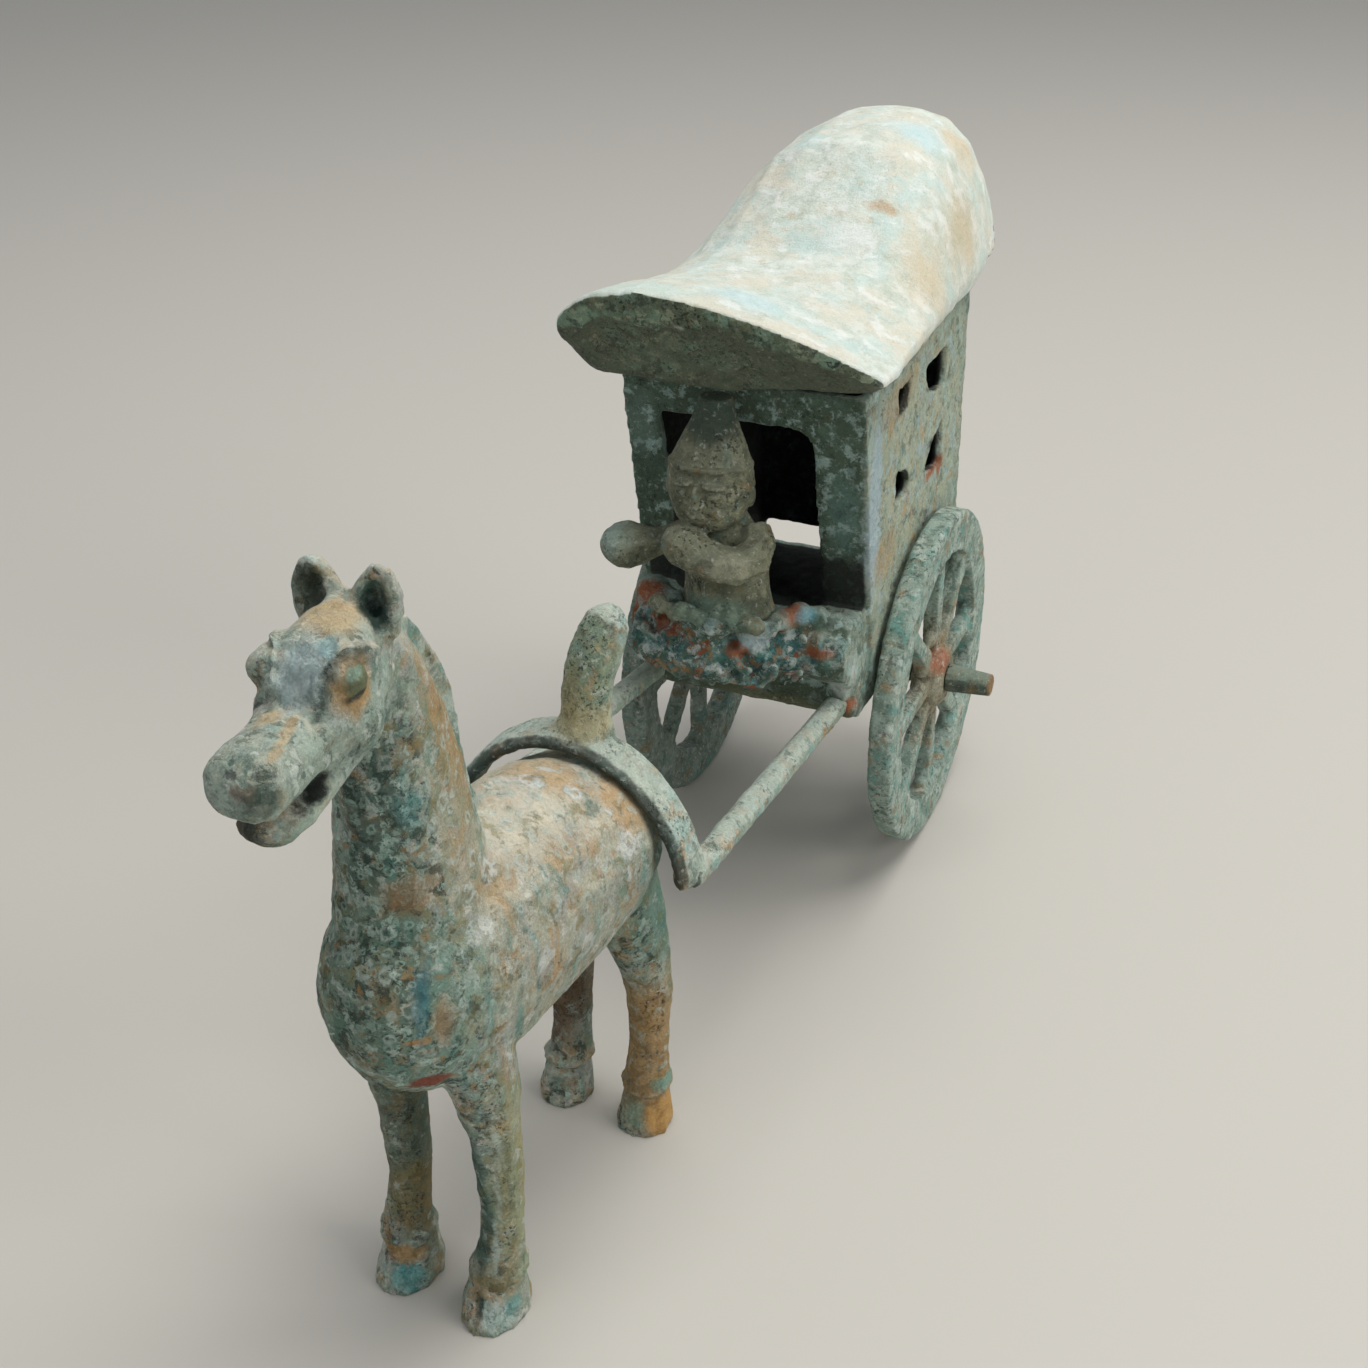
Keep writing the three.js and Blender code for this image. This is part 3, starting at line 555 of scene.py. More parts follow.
# Hind legs: cleft and cuff
for side, lean in ((1, 0.0), (-1, 0.8)):
    toe_x = side * (10.0 + lean) - 0.8
    marks += groove(horse_point(toe_x, 60.9, 0.8), horse_point(toe_x, 62.8, 6.0), 6, 1.1,
                    horse_way(0, 0.45, 0))
    marks += band(side * (10.0 + lean) - 0.8, 69.0, 11.2, 5.8, 5.3, 5.8, 1.0)
press(horse, marks)
corrode(horse, 8.0, 0.8)
corrode(horse, 2.4, 0.5)

crust = Crust("horse_crust", "#849684", "#b4bba8")
crust.patch("#5f8a7c", 11, 0.5, 0.6, 0.65, 3)
crust.patch("#c4d2c5", 7, 0.5, 0.6, 0.7, 17)
crust.stain("#bab9a4", (13, -80, 86), (14, 34, 24), 0.8, 0.5)
crust.patch("#c09c6c", 8, 0.54, 0.62, 0.7, 31)
crust.patch("#557060", 6, 0.58, 0.68, 0.5, 71)
crust.dust_and_shade("#e0dac5", 0.85, 0.1, 0.85)
crust.patch("#c39d6a", 9, 0.54, 0.62, 0.6, 53)
crust.patch("#b7b9b4", 6, 0.52, 0.62, 0.6, 67)
crust.patch("#f0efe4", 4, 0.55, 0.63, 0.65, 89)
# Chest and neck, dark and streaked
crust.stain("#48705c", (-1, -122, 92), (15, 8, 28), 0.7)
crust.stain("#34564c", (-1, -118, 126), (6, 7, 19), 0.8)
crust.stain("#527868", (-10, -117, 80), (8, 9, 26), 0.55)
crust.stain("#7fa594", (10, -116, 84), (6, 8, 18), 0.6)
crust.streak("#4e9791", 4, 0.55)
crust.streak("#bb9765", 5, 0.4, 0.56, 0.66, 80)
# Back, mane and haunch
crust.stain("#c9a26c", (2, -66, 104), (15, 8, 5), 0.6)
crust.stain("#cba36c", (15, -60, 94), (6, 6, 8), 0.65)
crust.stain("#e8e0ca", (7, -86, 104), (11, 12, 6), 0.6)
crust.stain("#c9a473", (8, -100, 96), (4, 5, 9), 0.55)
crust.stain("#b08c54", (4, -101, 137), (4, 7, 22), 0.7)
crust.stain("#b8ab8a", (8, -106, 118), (5, 7, 18), 0.5)
crust.stain("#4f8474", (18, -50, 66), (8, 12, 20), 0.65)
# Coarse crust on what faces forward
crust.region_facing(FORWARD, 0.0, 0.5, 0.6)
crust.patch("#20392f", 3.4, 0.53, 0.6, 0.8, 131, -0.3, local=True)
crust.patch("#c3dccd", 2.6, 0.53, 0.6, 0.75, 143, 0.3, local=True)
crust.patch("#b08a55", 3.6, 0.57, 0.65, 0.65, 157, 0.1, local=True)
# Chalk rings on flank, shoulder and chest
crust.rings("#edf3ee", "#93907a", 8.0, 0.5, 0.75, (11, -82, 96), (17, 30, 24))
crust.rings("#cfded4", "#5f7a6b", 4.0, 0.7, 0.6, (4, -98, 100), (24, 44, 44))
crust.rings("#a9c9bb", "#25423a", 2.3, 0.8, 0.6, (0, -120, 104), (14, 10, 36))
# Legs, front and hind, then patches, pits and wear all over
crust.stain("#53604a", (-11, -106, 34), (8, 11, 26), 0.65, 0.3)
crust.stain("#a8a67c", (12.8, -106, 34), (4.5, 9, 26), 0.7)
crust.stain("#35584c", (5.2, -108, 32), (3.2, 9, 24), 0.8)
crust.stain("#9c8550", (-12, -107, 22), (6, 6, 9), 0.55)
crust.stain("#b8925c", (12, -47, 22), (8, 12, 22), 0.85)
crust.stain("#6b4f33", (-10, -43, 36), (9, 14, 22), 0.9)
crust.patch("#8c8248", 5, 0.56, 0.64, 0.5, 93)
crust.patch("#d3ded3", 3.4, 0.56, 0.64, 0.55, 111)
crust.patch("#4d6d60", 4, 0.58, 0.66, 0.5, 121)
crust.pits("#2b362f", 0.9, 0.5, 0.62, 0.75, local=True)
crust.wear("#d3d6c2", 0.6, "#2c3b33", 0.75)
# Painted highlight: a pale line down the ridge of the near shin
for x, z in ((10.9, 46), (9.8, 33), (8.6, 20)):
    crust.mark("#cddccd", (x, -111.6, z), (0.6, 2.2, 7.5), 0.65, 0.5)
# Rust, teal and buff marks down the chest and throat
crust.mark("#964830", (4.9, -120.1, 70.0), (3.8, 4.5, 2.2), 0.9, 0.3)
crust.mark("#c4904f", (6.0, -124, 82.4), (2.2, 3, 0.9), 0.7)
crust.mark("#3f8390", (6.2, -121.5, 90), (1.0, 4, 8.5), 0.65, 0.6)
crust.mark("#b38d60", (9, -120, 85), (1.3, 4, 4.8), 0.7, 0.6)
crust.stain("#a07c50", (3.2, -118.8, 109.5), (4.2, 5, 3.4), 0.6, 0.6)
crust.stain("#5aa6a8", (4.0, -115.1, 124.6), (2.0, 3, 3.0), 0.45, 0.7)
# Head: muzzle and cheek, then coarse crust, forehead and crown
crust.stain("#9db5a6", head_point(3, 31, 149), (12, 9, 6), 0.5)
crust.stain("#6a8577", head_point(6, 14, 146), (6, 12, 6), 0.55)
crust.region_near((-1, -134, 152), (13, 22, 16), 0.3)
crust.patch("#bfd2c3", 7, 0.44, 0.58, 0.6, 161, 0.1, local=True)
crust.patch("#dfeade", 3, 0.53, 0.6, 0.65, 171, 0.3, local=True)
crust.patch("#38544a", 3, 0.56, 0.63, 0.6, 181, -0.2, local=True)
crust.mark("#bed6d8", head_point(0.6, 15.4, 156.4), (4.4, 6.4, 4.6), 0.75, 0.4)
crust.stain("#8cc6cf", (0.3, -127.1, 159.9), (1.8, 2.0, 1.6), 0.55)
crust.mark("#d9bb8a", (-2.4, -120.6, 161.6), (7.0, 4.4, 2.0), 0.7, 0.5)
# Ears
crust.stain("#24433b", head_point(5.4, 0.4, 160.8), (3.0, 2.6, 4.0), 0.95, 0.3)
crust.stain("#3d4a3c", head_point(-6.0, 0.2, 162.6), (2.8, 2.6, 4.0), 0.8, 0.4)
crust.stain("#c7d3c6", head_point(-2.2, 0.4, 162.8), (1.3, 2.0, 3.4), 0.7)
crust.stain("#cfe0d6", (-10.4, -114.7, 167.8), (2.6, 2.8, 1.6), 0.8)
crust.stain("#6d6544", (3.2, -114.5, 164.2), (1.4, 2.0, 2.2), 0.6)
# Eyes and brows: tan ring and olive ball, painted shade under the ball and a painted highlight on
# its top
crust.stain("#c9a066", head_point(8.0, EYE_FORWARD - 0.4, EYE_Z - 1.0), (3.2, 4.8, 5.0), 0.85, 0.3)
crust.mark("#5f7558", head_point(9.0, EYE_FORWARD, EYE_Z), (3.0, 2.8, 2.8), 0.85, 0.25)
crust.mark("#1f2f27", head_point(9.0, EYE_FORWARD + 0.2, EYE_Z - 2.6), (3.0, 2.6, 0.9), 0.8, 0.4)
crust.stain("#a9c9b4", head_point(9.2, EYE_FORWARD + 0.6, EYE_Z + 2.2), (1.8, 2.2, 1.2), 0.7)
# Painted shade along the brow grooves
for first, last in zip(BROW, BROW[1:]):
    middle = [(a + b) / 2 for a, b in zip(first, last)]
    reach = [abs(a - b) / 2 + 0.65 for a, b in zip(first, last)]
    crust.mark("#23382f", head_point(middle[0], middle[1] - 0.3, middle[2] - 0.3), reach, 0.6, 0.5)
# Bridge of the nose, nostrils, lips, open mouth and chin
for i in range(4):
    crust.mark("#dcbb88", (-0.4 + 0.95 * i, -136.8 - 2.7 * i, 152.2), (0.8, 1.9, 1.4), 0.6, 0.5)
crust.stain("#e0c796", (-4.5, -136.9, 152.4), (2.4, 2.4, 1.8), 0.7)
# Nostrils, painted dark as shade
crust.stain("#26322b", (-1.7, -150.2, 151.1), (1.5, 1.3, 0.8), 0.8)
crust.stain("#34443a", (3.1, -148.7, 150.9), (1.2, 1.3, 0.7), 0.6)
crust.stain("#8b5f48", (0.6, -151.4, 148.7), (2.0, 1.8, 1.6), 0.55)
crust.stain("#33483d", (3.0, -150.4, 147.0), (3.0, 2.6, 2.4), 0.6)
# Inside of the open mouth, painted nearly black as shade
crust.mark("#0e1612", head_point(5.4, 24.0, 141.5), (3.4, 4.6, 2.6), 0.97, 0.15)
crust.stain("#243028", (-3.6, -147.2, 138.8), (4.0, 3.4, 2.2), 0.8, 0.4)
crust.stain("#b4cdbb", (3.4, -139.6, 137.4), (3, 4.4, 1.8), 0.6, 0.4)
# Hooves, front and hind
crust.stain("#62aeae", (-12.0, -112.2, 4.2), (4.2, 3.8, 3.2), 0.75)
crust.stain("#bb935a", (-13.0, -110.6, 8.4), (6, 4.4, 1.7), 0.8)
crust.stain("#c4dcd4", (9.6, -112.8, 3.6), (4.0, 4, 3.0), 0.65)
crust.stain("#5fa39f", (11.6, -112.0, 5.0), (1.5, 3, 2.4), 0.6)
crust.stain("#8d8254", (8.0, -111.9, 10.4), (5.4, 4.4, 1.8), 0.7)
crust.mark("#2c443b", (5.4, -113.2, 5.0), (0.9, 3, 3.2), 0.6, 0.4)
crust.stain("#cc9d59", (16.8, -50.6, 4.4), (3.8, 7, 4.8), 0.9)
crust.stain("#9dbca4", (11.3, -53.3, 5.4), (2.6, 4, 3.4), 0.7)
crust.stain("#79b3a8", (17.4, -46, 12.6), (4, 6, 1.4), 0.7)
hand_in(horse, crust.finish(0.6, 0.14), "horse")


# Yoke and shafts: flat arched bronze band over the back with a thumb-shaped knob on its
# crown, cast in one with two round shafts whose ends are let into the carriage's beam.
yoke = recast("yoke_and_shafts", "yoke_casting")
one_skin(yoke, 0.48, 1)
corrode(yoke, 5.0, 0.5)
corrode(yoke, 1.6, 0.35)
crust = Crust("yoke_crust", "#93a698", "#b3bfaf")
crust.patch("#8bbdb9", 9, 0.5, 0.6, 0.6, 5)
crust.patch("#bf935c", 7, 0.54, 0.62, 0.7, 27)
crust.patch("#d4ddd4", 4, 0.52, 0.62, 0.6, 43)
crust.dust_and_shade("#c9d2c4", 0.6)
# Shafts, worn along their outer sides
crust.stain("#7d7a58", (28.5, -10, 60), (7, 62, 4.5), 0.7)
crust.stain("#7d7a58", (-28.5, -10, 60), (7, 62, 4.5), 0.7)
crust.patch("#59685a", 4, 0.57, 0.66, 0.6, 61)
# Painted shade on what faces forward: the front of the band and of the knob
crust.dust_and_shade("#2b352f", 0.85, 0.35, 0.8, 0.6, FORWARD)
crust.patch("#5c7468", 4, 0.55, 0.65, 0.5, 9, 0.05, local=True)
# Knob, patchy and pitted
crust.stain("#9dac8f", (2.5, -54.5, 119), (9, 9, 13), 0.9, 0.3)
crust.region_near((2.5, -54.5, 119), (9, 9, 13), 0.3)
crust.patch("#7d9a8b", 5, 0.52, 0.6, 0.7, 3, 0.1, local=True)
crust.patch("#c9ad7c", 4, 0.55, 0.63, 0.7, 19, 0.1, local=True)
crust.patch("#d3dccb", 3, 0.54, 0.61, 0.7, 33, 0.1, local=True)
crust.pits("#1b211b", 0.8, 0.36, 0.46, 0.8, local=True)
crust.stain("#d2caa2", (3.6, -53.0, 106.5), (7, 6, 4), 0.7)
crust.stain("#b5a777", (1.6, -54.0, 112), (3, 4, 6), 0.55)
crust.pits("#20271f", 0.9, 0.5, 0.6, 0.5)
crust.wear("#d3dacb", 0.55, "#333c34", 0.5)
hand_in(yoke, crust.finish(0.5, 0.35), "yoke_and_shafts")


# Carriage body: bronze, one open box casting with a front window, pierced side walls and
# a ledge across the front, where damp has left a thick lumpy crust round the driver.
lots = np.random.default_rng(7)
lumps = []


def heap(count, middle, half, heights, sizes, form):
    """Lumps over the ledge's rounded front: middle and half sizes of it in millimetres,
    heights in half sizes, form being a lump's proportions"""
    for i in range(count):
        across, height = lots.uniform(-1.0, 1.0), lots.uniform(*heights)
        round_front = math.sqrt(max(0.05, 1.0 - 0.8 * across * across - 0.8 * height * height))
        size = lots.uniform(*sizes)
        lumps.append(bead((middle[0] + half[0] * across, middle[1] - half[1] * round_front,
                           middle[2] + half[2] * height), [size * share for share in form]))


# Ledge: large lumps, lumps along the foot of the wall, small lumps, a ring round the
# driver's seat, and single ones at the corners
heap(58, (-4, 34.2, 78.2), (19, 12.6, 8.2), (-0.5, 0.85), (1.1, 2.6), (1.0, 0.8, 0.9))
for i in range(44):
    x, z = lots.uniform(-26, 27), lots.uniform(70.0, 85.5)
    size = lots.uniform(1.2, 2.8)
    lumps.append(bead((x, 34.4 + 0.2 * abs(z - 77.0), z), (size, size, size)))
heap(90, (-3, 34.0, 78.4), (23, 13.4, 8.6), (-0.7, 0.95), (0.8, 1.5), (1.0, 1.0, 1.0))
SEAT_LUMPS = 17
for i in range(SEAT_LUMPS):
    angle = math.pi * (1.02 + 0.96 * i / (SEAT_LUMPS - 1))
    size = lots.uniform(2.0, 3.1)
    lumps.append(bead((-0.4 + 13.4 * math.cos(angle), 33.4 + 10.2 * math.sin(angle),
                       87.2 + lots.uniform(0, 2.4)), (size, size * 0.8, size)))
for x, y, z, size in (
        (-22, 37, 87, 5.0), (-17.5, 34, 86.5, 4.4), (-24, 40, 85, 4.2), (16, 38, 87.2, 3.6),
        (20, 40, 86.4, 3.4), (25, 40, 85.5, 3.2), (13, 35, 86.6, 3.4), (25.2, 42.6, 66, 3.4),
        (27.4, 43.2, 61, 2.8), (22, 43, 63.8, 2.6), (27, 41.6, 70, 3.0), (-26, 43.4, 64, 2.6),
        (-23, 43, 60.6, 2.2)):
    lumps.append(bead((x, y, z), (size, size, size)))

# Left wall: corners (y, z) of the four openings of the lattice that the crust leaves wide
PIERCED = (((88.5, 133.8), (107.5, 133.8), (107.5, 123.5), (93.0, 126.8)),
           ((92.0, 105.5), (107.5, 101.5), (107.5, 114.3), (98.0, 111.0)),
           ((66.0, 128.2), (73.8, 131.5), (77.5, 136.0), (66.0, 136.0)),
           ((67.0, 106.0), (80.5, 106.0), (75.5, 112.2), (67.0, 115.0)))


def prism(corners, x, half):
    """Cutter through a side wall, from the corners (y, z) of its opening"""
    ring = len(corners)
    points = [((x + side * half) * MM, y * MM, z * MM) for side in (-1, 1) for y, z in corners]
    faces = [list(range(ring)), list(range(2 * ring - 1, ring - 1, -1))]
    faces += [(i, i + ring, (i + 1) % ring + ring, (i + 1) % ring) for i in range(ring)]
    mesh = bpy.data.meshes.new("prism")
    mesh.from_pydata(points, [], faces)
    form = bpy.data.objects.new("prism", mesh)
    bpy.context.scene.collection.objects.link(form)
    take(form)
    bpy.ops.object.mode_set(mode="EDIT")
    bpy.ops.mesh.select_all(action="SELECT")
    bpy.ops.mesh.normals_make_consistent(inside=False)
    bpy.ops.object.mode_set(mode="OBJECT")
    return form


WALL_X, WALL_CUT = 30.0, 4.4         # mm, middle of the left wall and half the cut's depth
piercings = [prism(corners, WALL_X, WALL_CUT) for corners in PIERCED]
carriage = recast("carriage_body", "carriage_body_casting", lumps, piercings)
one_skin(carriage, 0.82, 1)
# Left wall: bent lattice bar, seam behind the window post, bar across
press(carriage, groove((31.2, 85.0, 127.0), (31.2, 94.6, 118.5), 7, 2.4, (-0.4, 0, 0))
      + groove((31.2, 64.5, 100.0), (31.2, 64.5, 138.0), 20, 2.2, (0.16, 0, 0))
      + groove((31.2, 69.0, 124.0), (31.2, 88.0, 108.0), 12, 2.0, (-0.16, 0, 0)))
corrode(carriage, 7.0, 0.7, 0.62)
corrode(carriage, 2.2, 0.55, 0.6)
RUST = "#ad5c2e"
crust = Crust("carriage_crust", "#6b7c6b", "#93a292")
crust.patch("#a6b8aa", 10, 0.48, 0.58, 0.75, 9)
crust.patch("#74a09b", 7, 0.53, 0.63, 0.6, 21)
crust.patch("#a98b60", 6, 0.57, 0.65, 0.65, 35)
crust.dust_and_shade("#a3b5a8", 0.5)
crust.patch("#c5d0c8", 3.5, 0.56, 0.64, 0.55, 49)
crust.patch("#5a685b", 5, 0.57, 0.67, 0.45, 67)
# Front wall: darker green on what faces forward, partly its crust and partly painted shade
crust.dust_and_shade("#465a46", 0.9, 0.4, 0.8, 0.5, FORWARD)
crust.patch("#5f7a68", 6, 0.5, 0.62, 0.65, 77, 0.05, local=True)
crust.patch("#2f3e32", 4, 0.56, 0.66, 0.6, 15, 0.0, local=True)
# Left wall
crust.stain("#b7bda4", (30.6, 85, 108), (2.4, 44, 44), 0.9)
crust.region_near((30.6, 85, 108), (2.4, 44, 44))
crust.patch("#8fa99a", 6, 0.53, 0.61, 0.7, 5, 0.1, local=True)
crust.patch("#c0a070", 6, 0.55, 0.63, 0.65, 25, 0.1, local=True)
crust.patch("#a9bfc4", 7, 0.55, 0.63, 0.7, 45, 0.1, local=True)
crust.patch("#5f7366", 3, 0.58, 0.66, 0.5, 65, -0.2, local=True)
# Posts beside the window, then the ledge and its crust
crust.stain("#6f948d", (24, 44, 108), (4, 4, 14), 0.5)
crust.stain("#7d9a90", (-26, 44, 130), (4, 5, 10), 0.45)
crust.stain("#4f9490", (2, 30, 80), (26, 10, 5), 0.6)
# Darker along the ledge's lower part: painted shade under its bulge
crust.stain("#3f5248", (4, 30, 73), (24, 10, 4.5), 0.55)
crust.patch("#b3cfc8", 4.0, 0.52, 0.6, 0.65, 83)
crust.patch("#3c5750", 4.5, 0.55, 0.63, 0.5, 97)
crust.region_near((-2, 28, 79), (30, 15, 12), 0.3)
crust.patch("#2f5f63", 5, 0.53, 0.6, 0.75, 7, -0.2, local=True)
crust.patch("#b98a58", 5, 0.54, 0.61, 0.7, 27, 0.2, local=True)
crust.patch("#e2ece6", 3.2, 0.54, 0.6, 0.8, 47, 0.3, local=True)
crust.patch("#a5552b", 4, 0.57, 0.63, 0.85, 69, 0.1, local=True)
crust.patch("#6fb3b6", 3.4, 0.56, 0.62, 0.7, 87, 0.2, local=True)
# Foot of the wall under the ledge, painted dark as shade, with an olive stain
crust.stain("#46523f", (0, 44, 60), (32, 9, 5), 0.75)
crust.stain("#6d6a48", (6, 44, 58), (14, 9, 3), 0.5)
# Chalk rings, pits, wear, rust spots and single pale marks
crust.rings("#d5e2dc", "#54706a", 4.5, 0.6, 0.6, (4, 30, 82), (26, 14, 8))
crust.pits("#1d2420", 1.2, 0.52, 0.62, 0.5)
crust.wear("#b9c6b6", 0.55, "#29312a", 0.7)
for centre, reach in (
        ((15.5, 36, 89), (3.6, 4, 2.4)), ((-21, 33, 89), (4, 4, 3)), ((-26, 38, 82), (3, 5, 3)),
        ((30.4, 99, 103.2), (2.4, 6, 1.8)), ((27, 43, 62), (2.4, 3, 3)),
        ((-16, 29, 84), (2.4, 4, 2)), ((6, 24, 83), (3, 3, 1.6)), ((22, 36, 80), (4, 4, 2)),
        ((-4, 24, 76), (4, 3, 1.6))):
    crust.stain(RUST, centre, reach, 0.8, 0.4)
crust.stain("#7cc0cc", (17.8, 37, 88.4), (2.6, 3, 2), 0.7)
crust.stain("#cfe3e6", (9, 26, 86), (3.6, 5, 3), 0.6)
crust.stain("#e0e8e2", (26, 41, 72), (3.4, 4, 6), 0.6)
crust.stain("#b3cbd6", (30.4, 50, 112), (2.4, 4.6, 22), 0.7)
crust.stain("#b3956a", (30.4, 66, 134), (3, 12, 5), 0.5)
crust.stain("#b3956a", (30.4, 60, 96), (3, 9, 6), 0.5)
# Painted shade on the rims of the openings and in the cabin behind them
for corners in PIERCED:
    low, high = np.min(corners, axis=0), np.max(corners, axis=0)
    middle, half = (low + high) / 2, (high - low) / 2
    crust.mark("#151915", (29.0, *middle), (1.5, *half), 0.85, 0.15)
crust.inside("#171a16", (0, 86.4, 101.5), (28.7, 38.8, 40.5), 0.9)
crust.stain("#9a5128", (29.6, 106.5, 101.6), (2.2, 2.6, 2.6), 0.8)
hand_in(carriage, crust.finish(0.45, 0.32), "carriage_body")


# Roof: thin saddle-shaped bronze shell lapped over the wall tops and swept up behind,
# chalky white-green on top; under its front brow it is patchy, pitted and painted dark as shade.
roof = recast("roof", "roof_casting")
one_skin(roof, 0.67, 6)
# Its front corner over the right wall is worn round
TIP_X, TIP_Y, TIP_PASSES = -20.0, 36.0, 60
tip = roof.vertex_groups.new(name="tip")
spots = places_of(roof)
near_tip = (spots[:, 0] < TIP_X) & (spots[:, 1] < TIP_Y)
tip.add(np.nonzero(near_tip)[0].tolist(), 1.0, "REPLACE")
soften = roof.modifiers.new("soften", "SMOOTH")
soften.factor = 0.5
soften.iterations = TIP_PASSES
soften.vertex_group = "tip"
bpy.ops.object.modifier_apply(modifier="soften")
roof.vertex_groups.clear()
corrode(roof, 16.0, 0.8)
corrode(roof, 3.0, 0.3)
crust = Crust("roof_crust", "#c9d2c6", "#dde3da")
crust.patch("#ddd6c3", 15, 0.45, 0.62, 0.7, 31, 0.05)
crust.patch("#c3dcd8", 11, 0.5, 0.64, 0.6, 59, 0.05)
crust.patch("#f1f4f0", 6, 0.53, 0.64, 0.6, 73, 0.1)
crust.patch("#b3bda9", 9, 0.55, 0.68, 0.45, 87, 0.0)
crust.patch("#c9b48c", 5, 0.62, 0.7, 0.55, 101, 0.0)
# Buff, pale blue and chalk areas of the top
crust.stain("#cbb893", (31, 84, 160), (7, 13, 9), 0.5, 0.7)
crust.stain("#c3e1e6", (16, 125, 182), (8, 7, 6), 0.6, 0.6)
crust.stain("#c3e1e6", (4, 36, 165), (9, 6, 4), 0.55, 0.6)
crust.stain("#c8b183", (31, 116, 163), (5, 12, 9), 0.55, 0.7)
crust.stain("#cdb68c", (22, 140, 176), (5, 8, 6), 0.5, 0.6)
crust.stain("#b98f5d", (18, 91, 172), (5, 2, 1.6), 0.6, 0.5)
crust.stain("#eef3ef", (12, 80, 167), (6, 5, 4), 0.6, 0.6)
crust.stain("#c3ddd6", (-18, 26, 167), (12, 6, 5), 0.45, 0.6)
# Front brow, darker partly from its crust and partly as painted shade, then the underside, painted
# dark as shade
crust.dust_and_shade("#5d6853", 1.0, 0.56, 0.74, 0.3, (0.0, -0.94, -0.34))
crust.patch("#78957f", 7, 0.48, 0.57, 0.8, 11, 0.1, local=True)
crust.patch("#9aa489", 4, 0.53, 0.6, 0.7, 23, 0.1, local=True)
crust.patch("#93805a", 5, 0.58, 0.68, 0.4, 47, 0.0, local=True)
crust.patch("#2f382e", 3, 0.54, 0.62, 0.7, 63, -0.2, local=True)
crust.pits("#1f261f", 1.1, 0.44, 0.56, 0.8, local=True)
crust.dust_and_shade("#5a6251", 0.9, 0.3, 0.6, 0.4, (0.0, 0.0, -1.0))
crust.mark("#c4ccc0", (-7.5, 22.6, 160), (1.4, 2, 1.6), 0.6)
crust.wear("#d6dcd1", 0.6, "#4b4f42", 0.3)
hand_in(roof, crust.finish(0.3, 0.13, "#f2f4ef", "#8b9284"), "roof")


# Driver: small solid bronze figure seated in the crust on the ledge, in a tall tapering
# hat with a rolled edge, one arm laid across and one fist held out; olive with buff high
# points. The face is plain and calm: almond eyes, soft brows, straight nose, closed mouth.
FACE = np.array([-3.8, 22.2, 121.0])
features = []
# Eyes, brows, ears and cheeks, then ridge and tip of the nose, both lips and the chin
for side in (-1, 1):
    features.append(bead(FACE + (side * 3.9, 0.9, 1.0), (1.9, 1.3, 0.85),
                         (0, side * -0.1, side * 0.35), 3))
    features.append(bead(FACE + (side * 4.0, 0.6, 3.3), (2.8, 1.4, 0.6),
                         (0, side * 0.14, side * 0.35), 3))
    features.append(bead(FACE + (side * 10.0, 8.6, -0.6), (1.1, 1.9, 3.0), rings=3))
    features.append(bead(FACE + (side * 3.6, 2.0, -3.4), (2.6, 1.6, 2.0), rings=3))
features.append(bead(FACE + (0, -0.1, 0.4), (1.0, 1.7, 3.1), (0.12, 0, 0), 3))
features.append(bead(FACE + (0, -0.4, -2.0), (1.7, 1.9, 1.1), rings=3))
features.append(bead(FACE + (0, 0.7, -4.7), (2.5, 1.2, 0.55), rings=3))
features.append(bead(FACE + (0, 1.2, -5.9), (2.0, 1.2, 0.6), rings=3))
features.append(bead(FACE + (0, 2.5, -8.2), (2.6, 1.7, 1.5), rings=3))
# Edge of the hat, and crust round the seat
bpy.ops.object.select_all(action="DESELECT")
bpy.ops.mesh.primitive_torus_add(major_radius=9.6 * MM, minor_radius=0.7 * MM,
                                 major_segments=64, minor_segments=12)
hat_edge = bpy.context.object
hat_edge.scale = (1.0, 0.84, 1.0)
hat_edge.rotation_euler = (-0.1, 0.0, 0.0)
hat_edge.location = (-3.8 * MM, 31.2 * MM, 127.0 * MM)
bpy.ops.object.transform_apply(location=True, rotation=True, scale=True)
features.append(hat_edge)
for i in range(16):
    size = lots.uniform(1.4, 2.6)
    features.append(bead((-15.5 + 1.7 * i, 24.6 + lots.uniform(-1.2, 1.2),
                          89.4 + lots.uniform(-0.4, 2.2)), (size, size, size * 0.9)))
driver = recast("driver", "driver_figure", features)
one_skin(driver, 0.4, 2)
# Collar, sleeve edge and folds of the robe
press(driver, groove((-7.2, 26.2, 112.6), (-2.6, 24.6, 106.5), 8, 1.3, (0, 0.4, 0))
      + groove((2.4, 26.4, 112.6), (-2.2, 24.6, 106.5), 8, 1.3, (0, 0.4, 0))
      + groove((10.0, 26.0, 104.4), (6.4, 20.6, 103.0), 7, 1.5, (-0.2, 0.3, 0.1))
      + groove((-11.0, 22.8, 104.0), (-13.0, 22.4, 92.0), 10, 1.6, (0, 0.5, 0))
      + groove((-6.4, 22.0, 101.0), (-7.0, 21.6, 91.0), 9, 1.5, (0, 0.5, 0))
      + groove((0.4, 22.0, 99.0), (1.4, 21.6, 91.0), 8, 1.5, (0, 0.5, 0))
      + groove((7.0, 22.8, 99.0), (8.0, 22.4, 92.0), 8, 1.5, (0, 0.5, 0)))
corrode(driver, 4.0, 0.4)
corrode(driver, 1.5, 0.2)
crust = Crust("driver_crust", "#595e4a", "#787a62", 0.68)
crust.patch("#9a9b81", 6, 0.5, 0.6, 0.65, 13)
crust.patch("#4d5648", 5, 0.54, 0.64, 0.6, 29)
crust.patch("#6f8f85", 5, 0.57, 0.66, 0.55, 41)
crust.dust_and_shade("#a3a58c", 0.5)
crust.patch("#8a7650", 4, 0.57, 0.65, 0.6, 55)
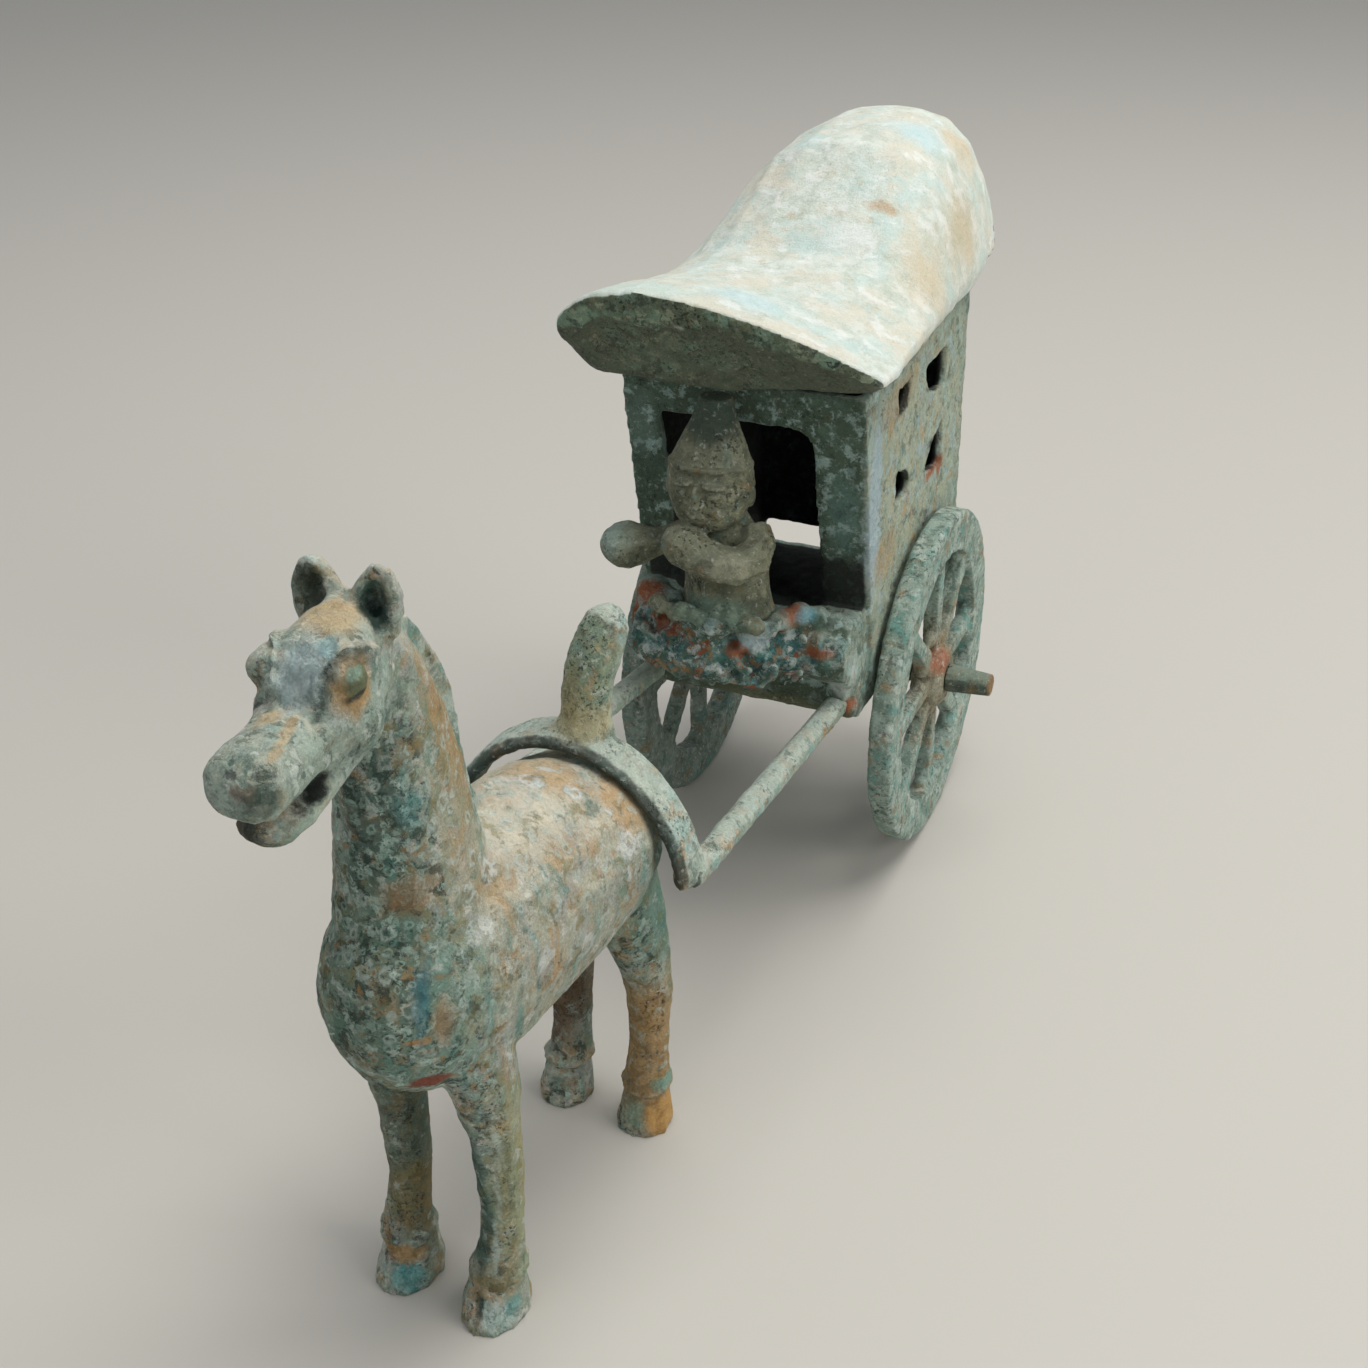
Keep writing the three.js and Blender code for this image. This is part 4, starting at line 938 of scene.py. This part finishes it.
# Painted shade on the top of the hat, under the roof
crust.stain("#2f463c", (-3.8, 31, 138), (7, 7, 7), 0.8)
crust.stain("#b9b89f", (5, 20, 106), (7, 4, 3), 0.5)
crust.mark("#62b0b8", (-9.5, 21.4, 110.4), (2.2, 3, 1.8), 0.7, 0.5)
crust.stain("#a9c3b8", (-24.5, 23.0, 107.5), (4.5, 5, 4), 0.75, 0.5)
crust.stain("#7ea394", (-1, 24, 91), (10, 6, 4), 0.5)
crust.pits("#2b3029", 1.1, 0.5, 0.62, 0.7)
crust.wear("#bab79c", 0.6, "#2f352c", 0.65)
hand_in(driver, crust.finish(0.4, 0.4), "driver")


# Axle: round bronze bar fixed under the floor, with a fatter tapered end outside each
# hub, worn bright brown on its end faces.
axle = recast("axle", "axle_bar")
one_skin(axle, 0.42, 1)
crust = Crust("axle_crust", "#46524a", "#67705f", 0.7)
crust.patch("#7d998c", 5, 0.53, 0.63, 0.6, 15)
crust.patch("#8d7148", 4, 0.55, 0.65, 0.6, 33)
crust.dust_and_shade("#9aa795", 0.5)
crust.pits("#22251f", 1.0, 0.5, 0.62)
crust.wear("#a89a72", 0.6, "#2b302a", 0.5)
for end in (-1, 1):
    crust.mark("#94734a", (end * 52.2, 92.6, 46), (1.1, 4.4, 4.4), 0.85)
hand_in(axle, crust.finish(0.4, 0.4), "axle")


# Wheels: one bronze casting each, with a broad rim, eight flat spokes and a hub that
# turns on the axle; mint crust, rust at the hub, webs of dirt round hub and spoke ends.
AXLE_Y, AXLE_Z = 92.558, 46.0
SPOKES, SPOKE_END = 8, 34.0
HUB_BORE, HUB_WALL = 5.5, 3.0        # mm, no relief in the bore, all of it past the wall
for side, across, painted_shade_share in (("left", 34.7, 0.0), ("right", -34.3, 0.45)):
    webs = []
    for i in range(2 * SPOKES):
        angle = math.pi * (i + 0.5) / SPOKES
        size = lots.uniform(1.6, 3.0)
        far = lots.uniform(10.5, 12.5)
        webs.append(bead((across, AXLE_Y + far * math.cos(angle), AXLE_Z + far * math.sin(angle)),
                         (1.8, size, size)))
    for i in range(2 * SPOKES):
        angle = math.pi * (i // 2) / (SPOKES / 2) + (0.1 if i % 2 else -0.1)
        size = lots.uniform(1.8, 3.2)
        webs.append(bead((across, AXLE_Y + SPOKE_END * math.cos(angle),
                          AXLE_Z + SPOKE_END * math.sin(angle)), (2.2, size, size)))
    wheel = recast("wheel_" + side, "wheel_" + side + "_casting", webs)
    one_skin(wheel, 0.52, 1)
    spots = places_of(wheel)
    from_axle = np.hypot(spots[:, 1] - AXLE_Y, spots[:, 2] - AXLE_Z)
    free = np.clip((from_axle - HUB_BORE) / HUB_WALL, 0.0, 1.0)
    corrode(wheel, 5.0, 0.55, 0.5, free)
    corrode(wheel, 1.8, 0.4, 0.5, free)
    crust = Crust("wheel_" + side + "_crust", "#7f9486", "#a8bbae")
    crust.patch("#a9bdb1", 8, 0.48, 0.58, 0.7, 19)
    crust.patch("#a98c60", 6, 0.55, 0.64, 0.65, 37)
    crust.patch("#d0ddd3", 4, 0.53, 0.61, 0.65, 73)
    crust.patch("#5fa19a", 6, 0.53, 0.62, 0.6, 5)
    crust.patch("#48564b", 5, 0.56, 0.65, 0.6, 57)
    crust.stain("#9a7a4e", (across, 92.6, 46), (14, 17, 17), 0.55, 0.6)
    crust.stain("#b3562c", (across, 90, 52), (12, 5, 3), 0.6, 0.5)
    # The far wheel is darkened all over: painted shade
    crust.stain("#2e352d", (across, 92.6, 46), (60, 60, 60), painted_shade_share, 0.1)
    crust.pits("#1f2621", 1.2, 0.5, 0.62, 0.6)
    crust.wear("#c6d2c3", 0.55, "#2f372f", 0.65)
    hand_in(wheel, crust.finish(0.5, 0.5), "wheel_" + side, side + "_wheel")


# Table and light: a plain pale table top, with a large soft light overhead, one from
# the carriage's left side and a weak one in front. Light places and sizes in metres.
bpy.ops.object.select_all(action="DESELECT")
bpy.ops.mesh.primitive_plane_add(size=14.0, location=(0, 4.0, 0))
table_top = bpy.context.object
table_top.name = "table_top"
board = bpy.data.materials.new("table_board")
board.use_nodes = True
board_skin = board.node_tree.nodes["Principled BSDF"].inputs
board_skin["Base Color"].default_value = paint("#c6c2ba")
board_skin["Roughness"].default_value = 0.6
table_top.data.materials.append(board)

LIT_POINT = (0, 0, 0.08)
for name, place, size, power, tint in (
        ("overhead", (0.25, 0.3, 1.3), 0.9, 13.2, (1.0, 0.985, 0.96)),
        ("side", (1.4, -0.1, 0.7), 0.8, 8.0, (1.0, 0.98, 0.95)),
        ("front", (-0.5, -1.4, 0.6), 1.0, 1.8, (0.95, 0.98, 1.0))):
    lamp = bpy.data.lights.new(name, "AREA")
    lamp.size = size
    lamp.energy = power
    lamp.color = tint
    holder = bpy.data.objects.new(name, lamp)
    holder.location = place
    away = Vector(place) - Vector(LIT_POINT)
    holder.rotation_euler = away.to_track_quat("Z", "Y").to_euler()
    bpy.context.scene.collection.objects.link(holder)
room = bpy.data.worlds.new("room")
room.use_nodes = True
sky = room.node_tree.nodes["Background"].inputs
sky["Color"].default_value = (0.93, 0.97, 1.0, 1.0)
sky["Strength"].default_value = 0.35
bpy.context.scene.world = room
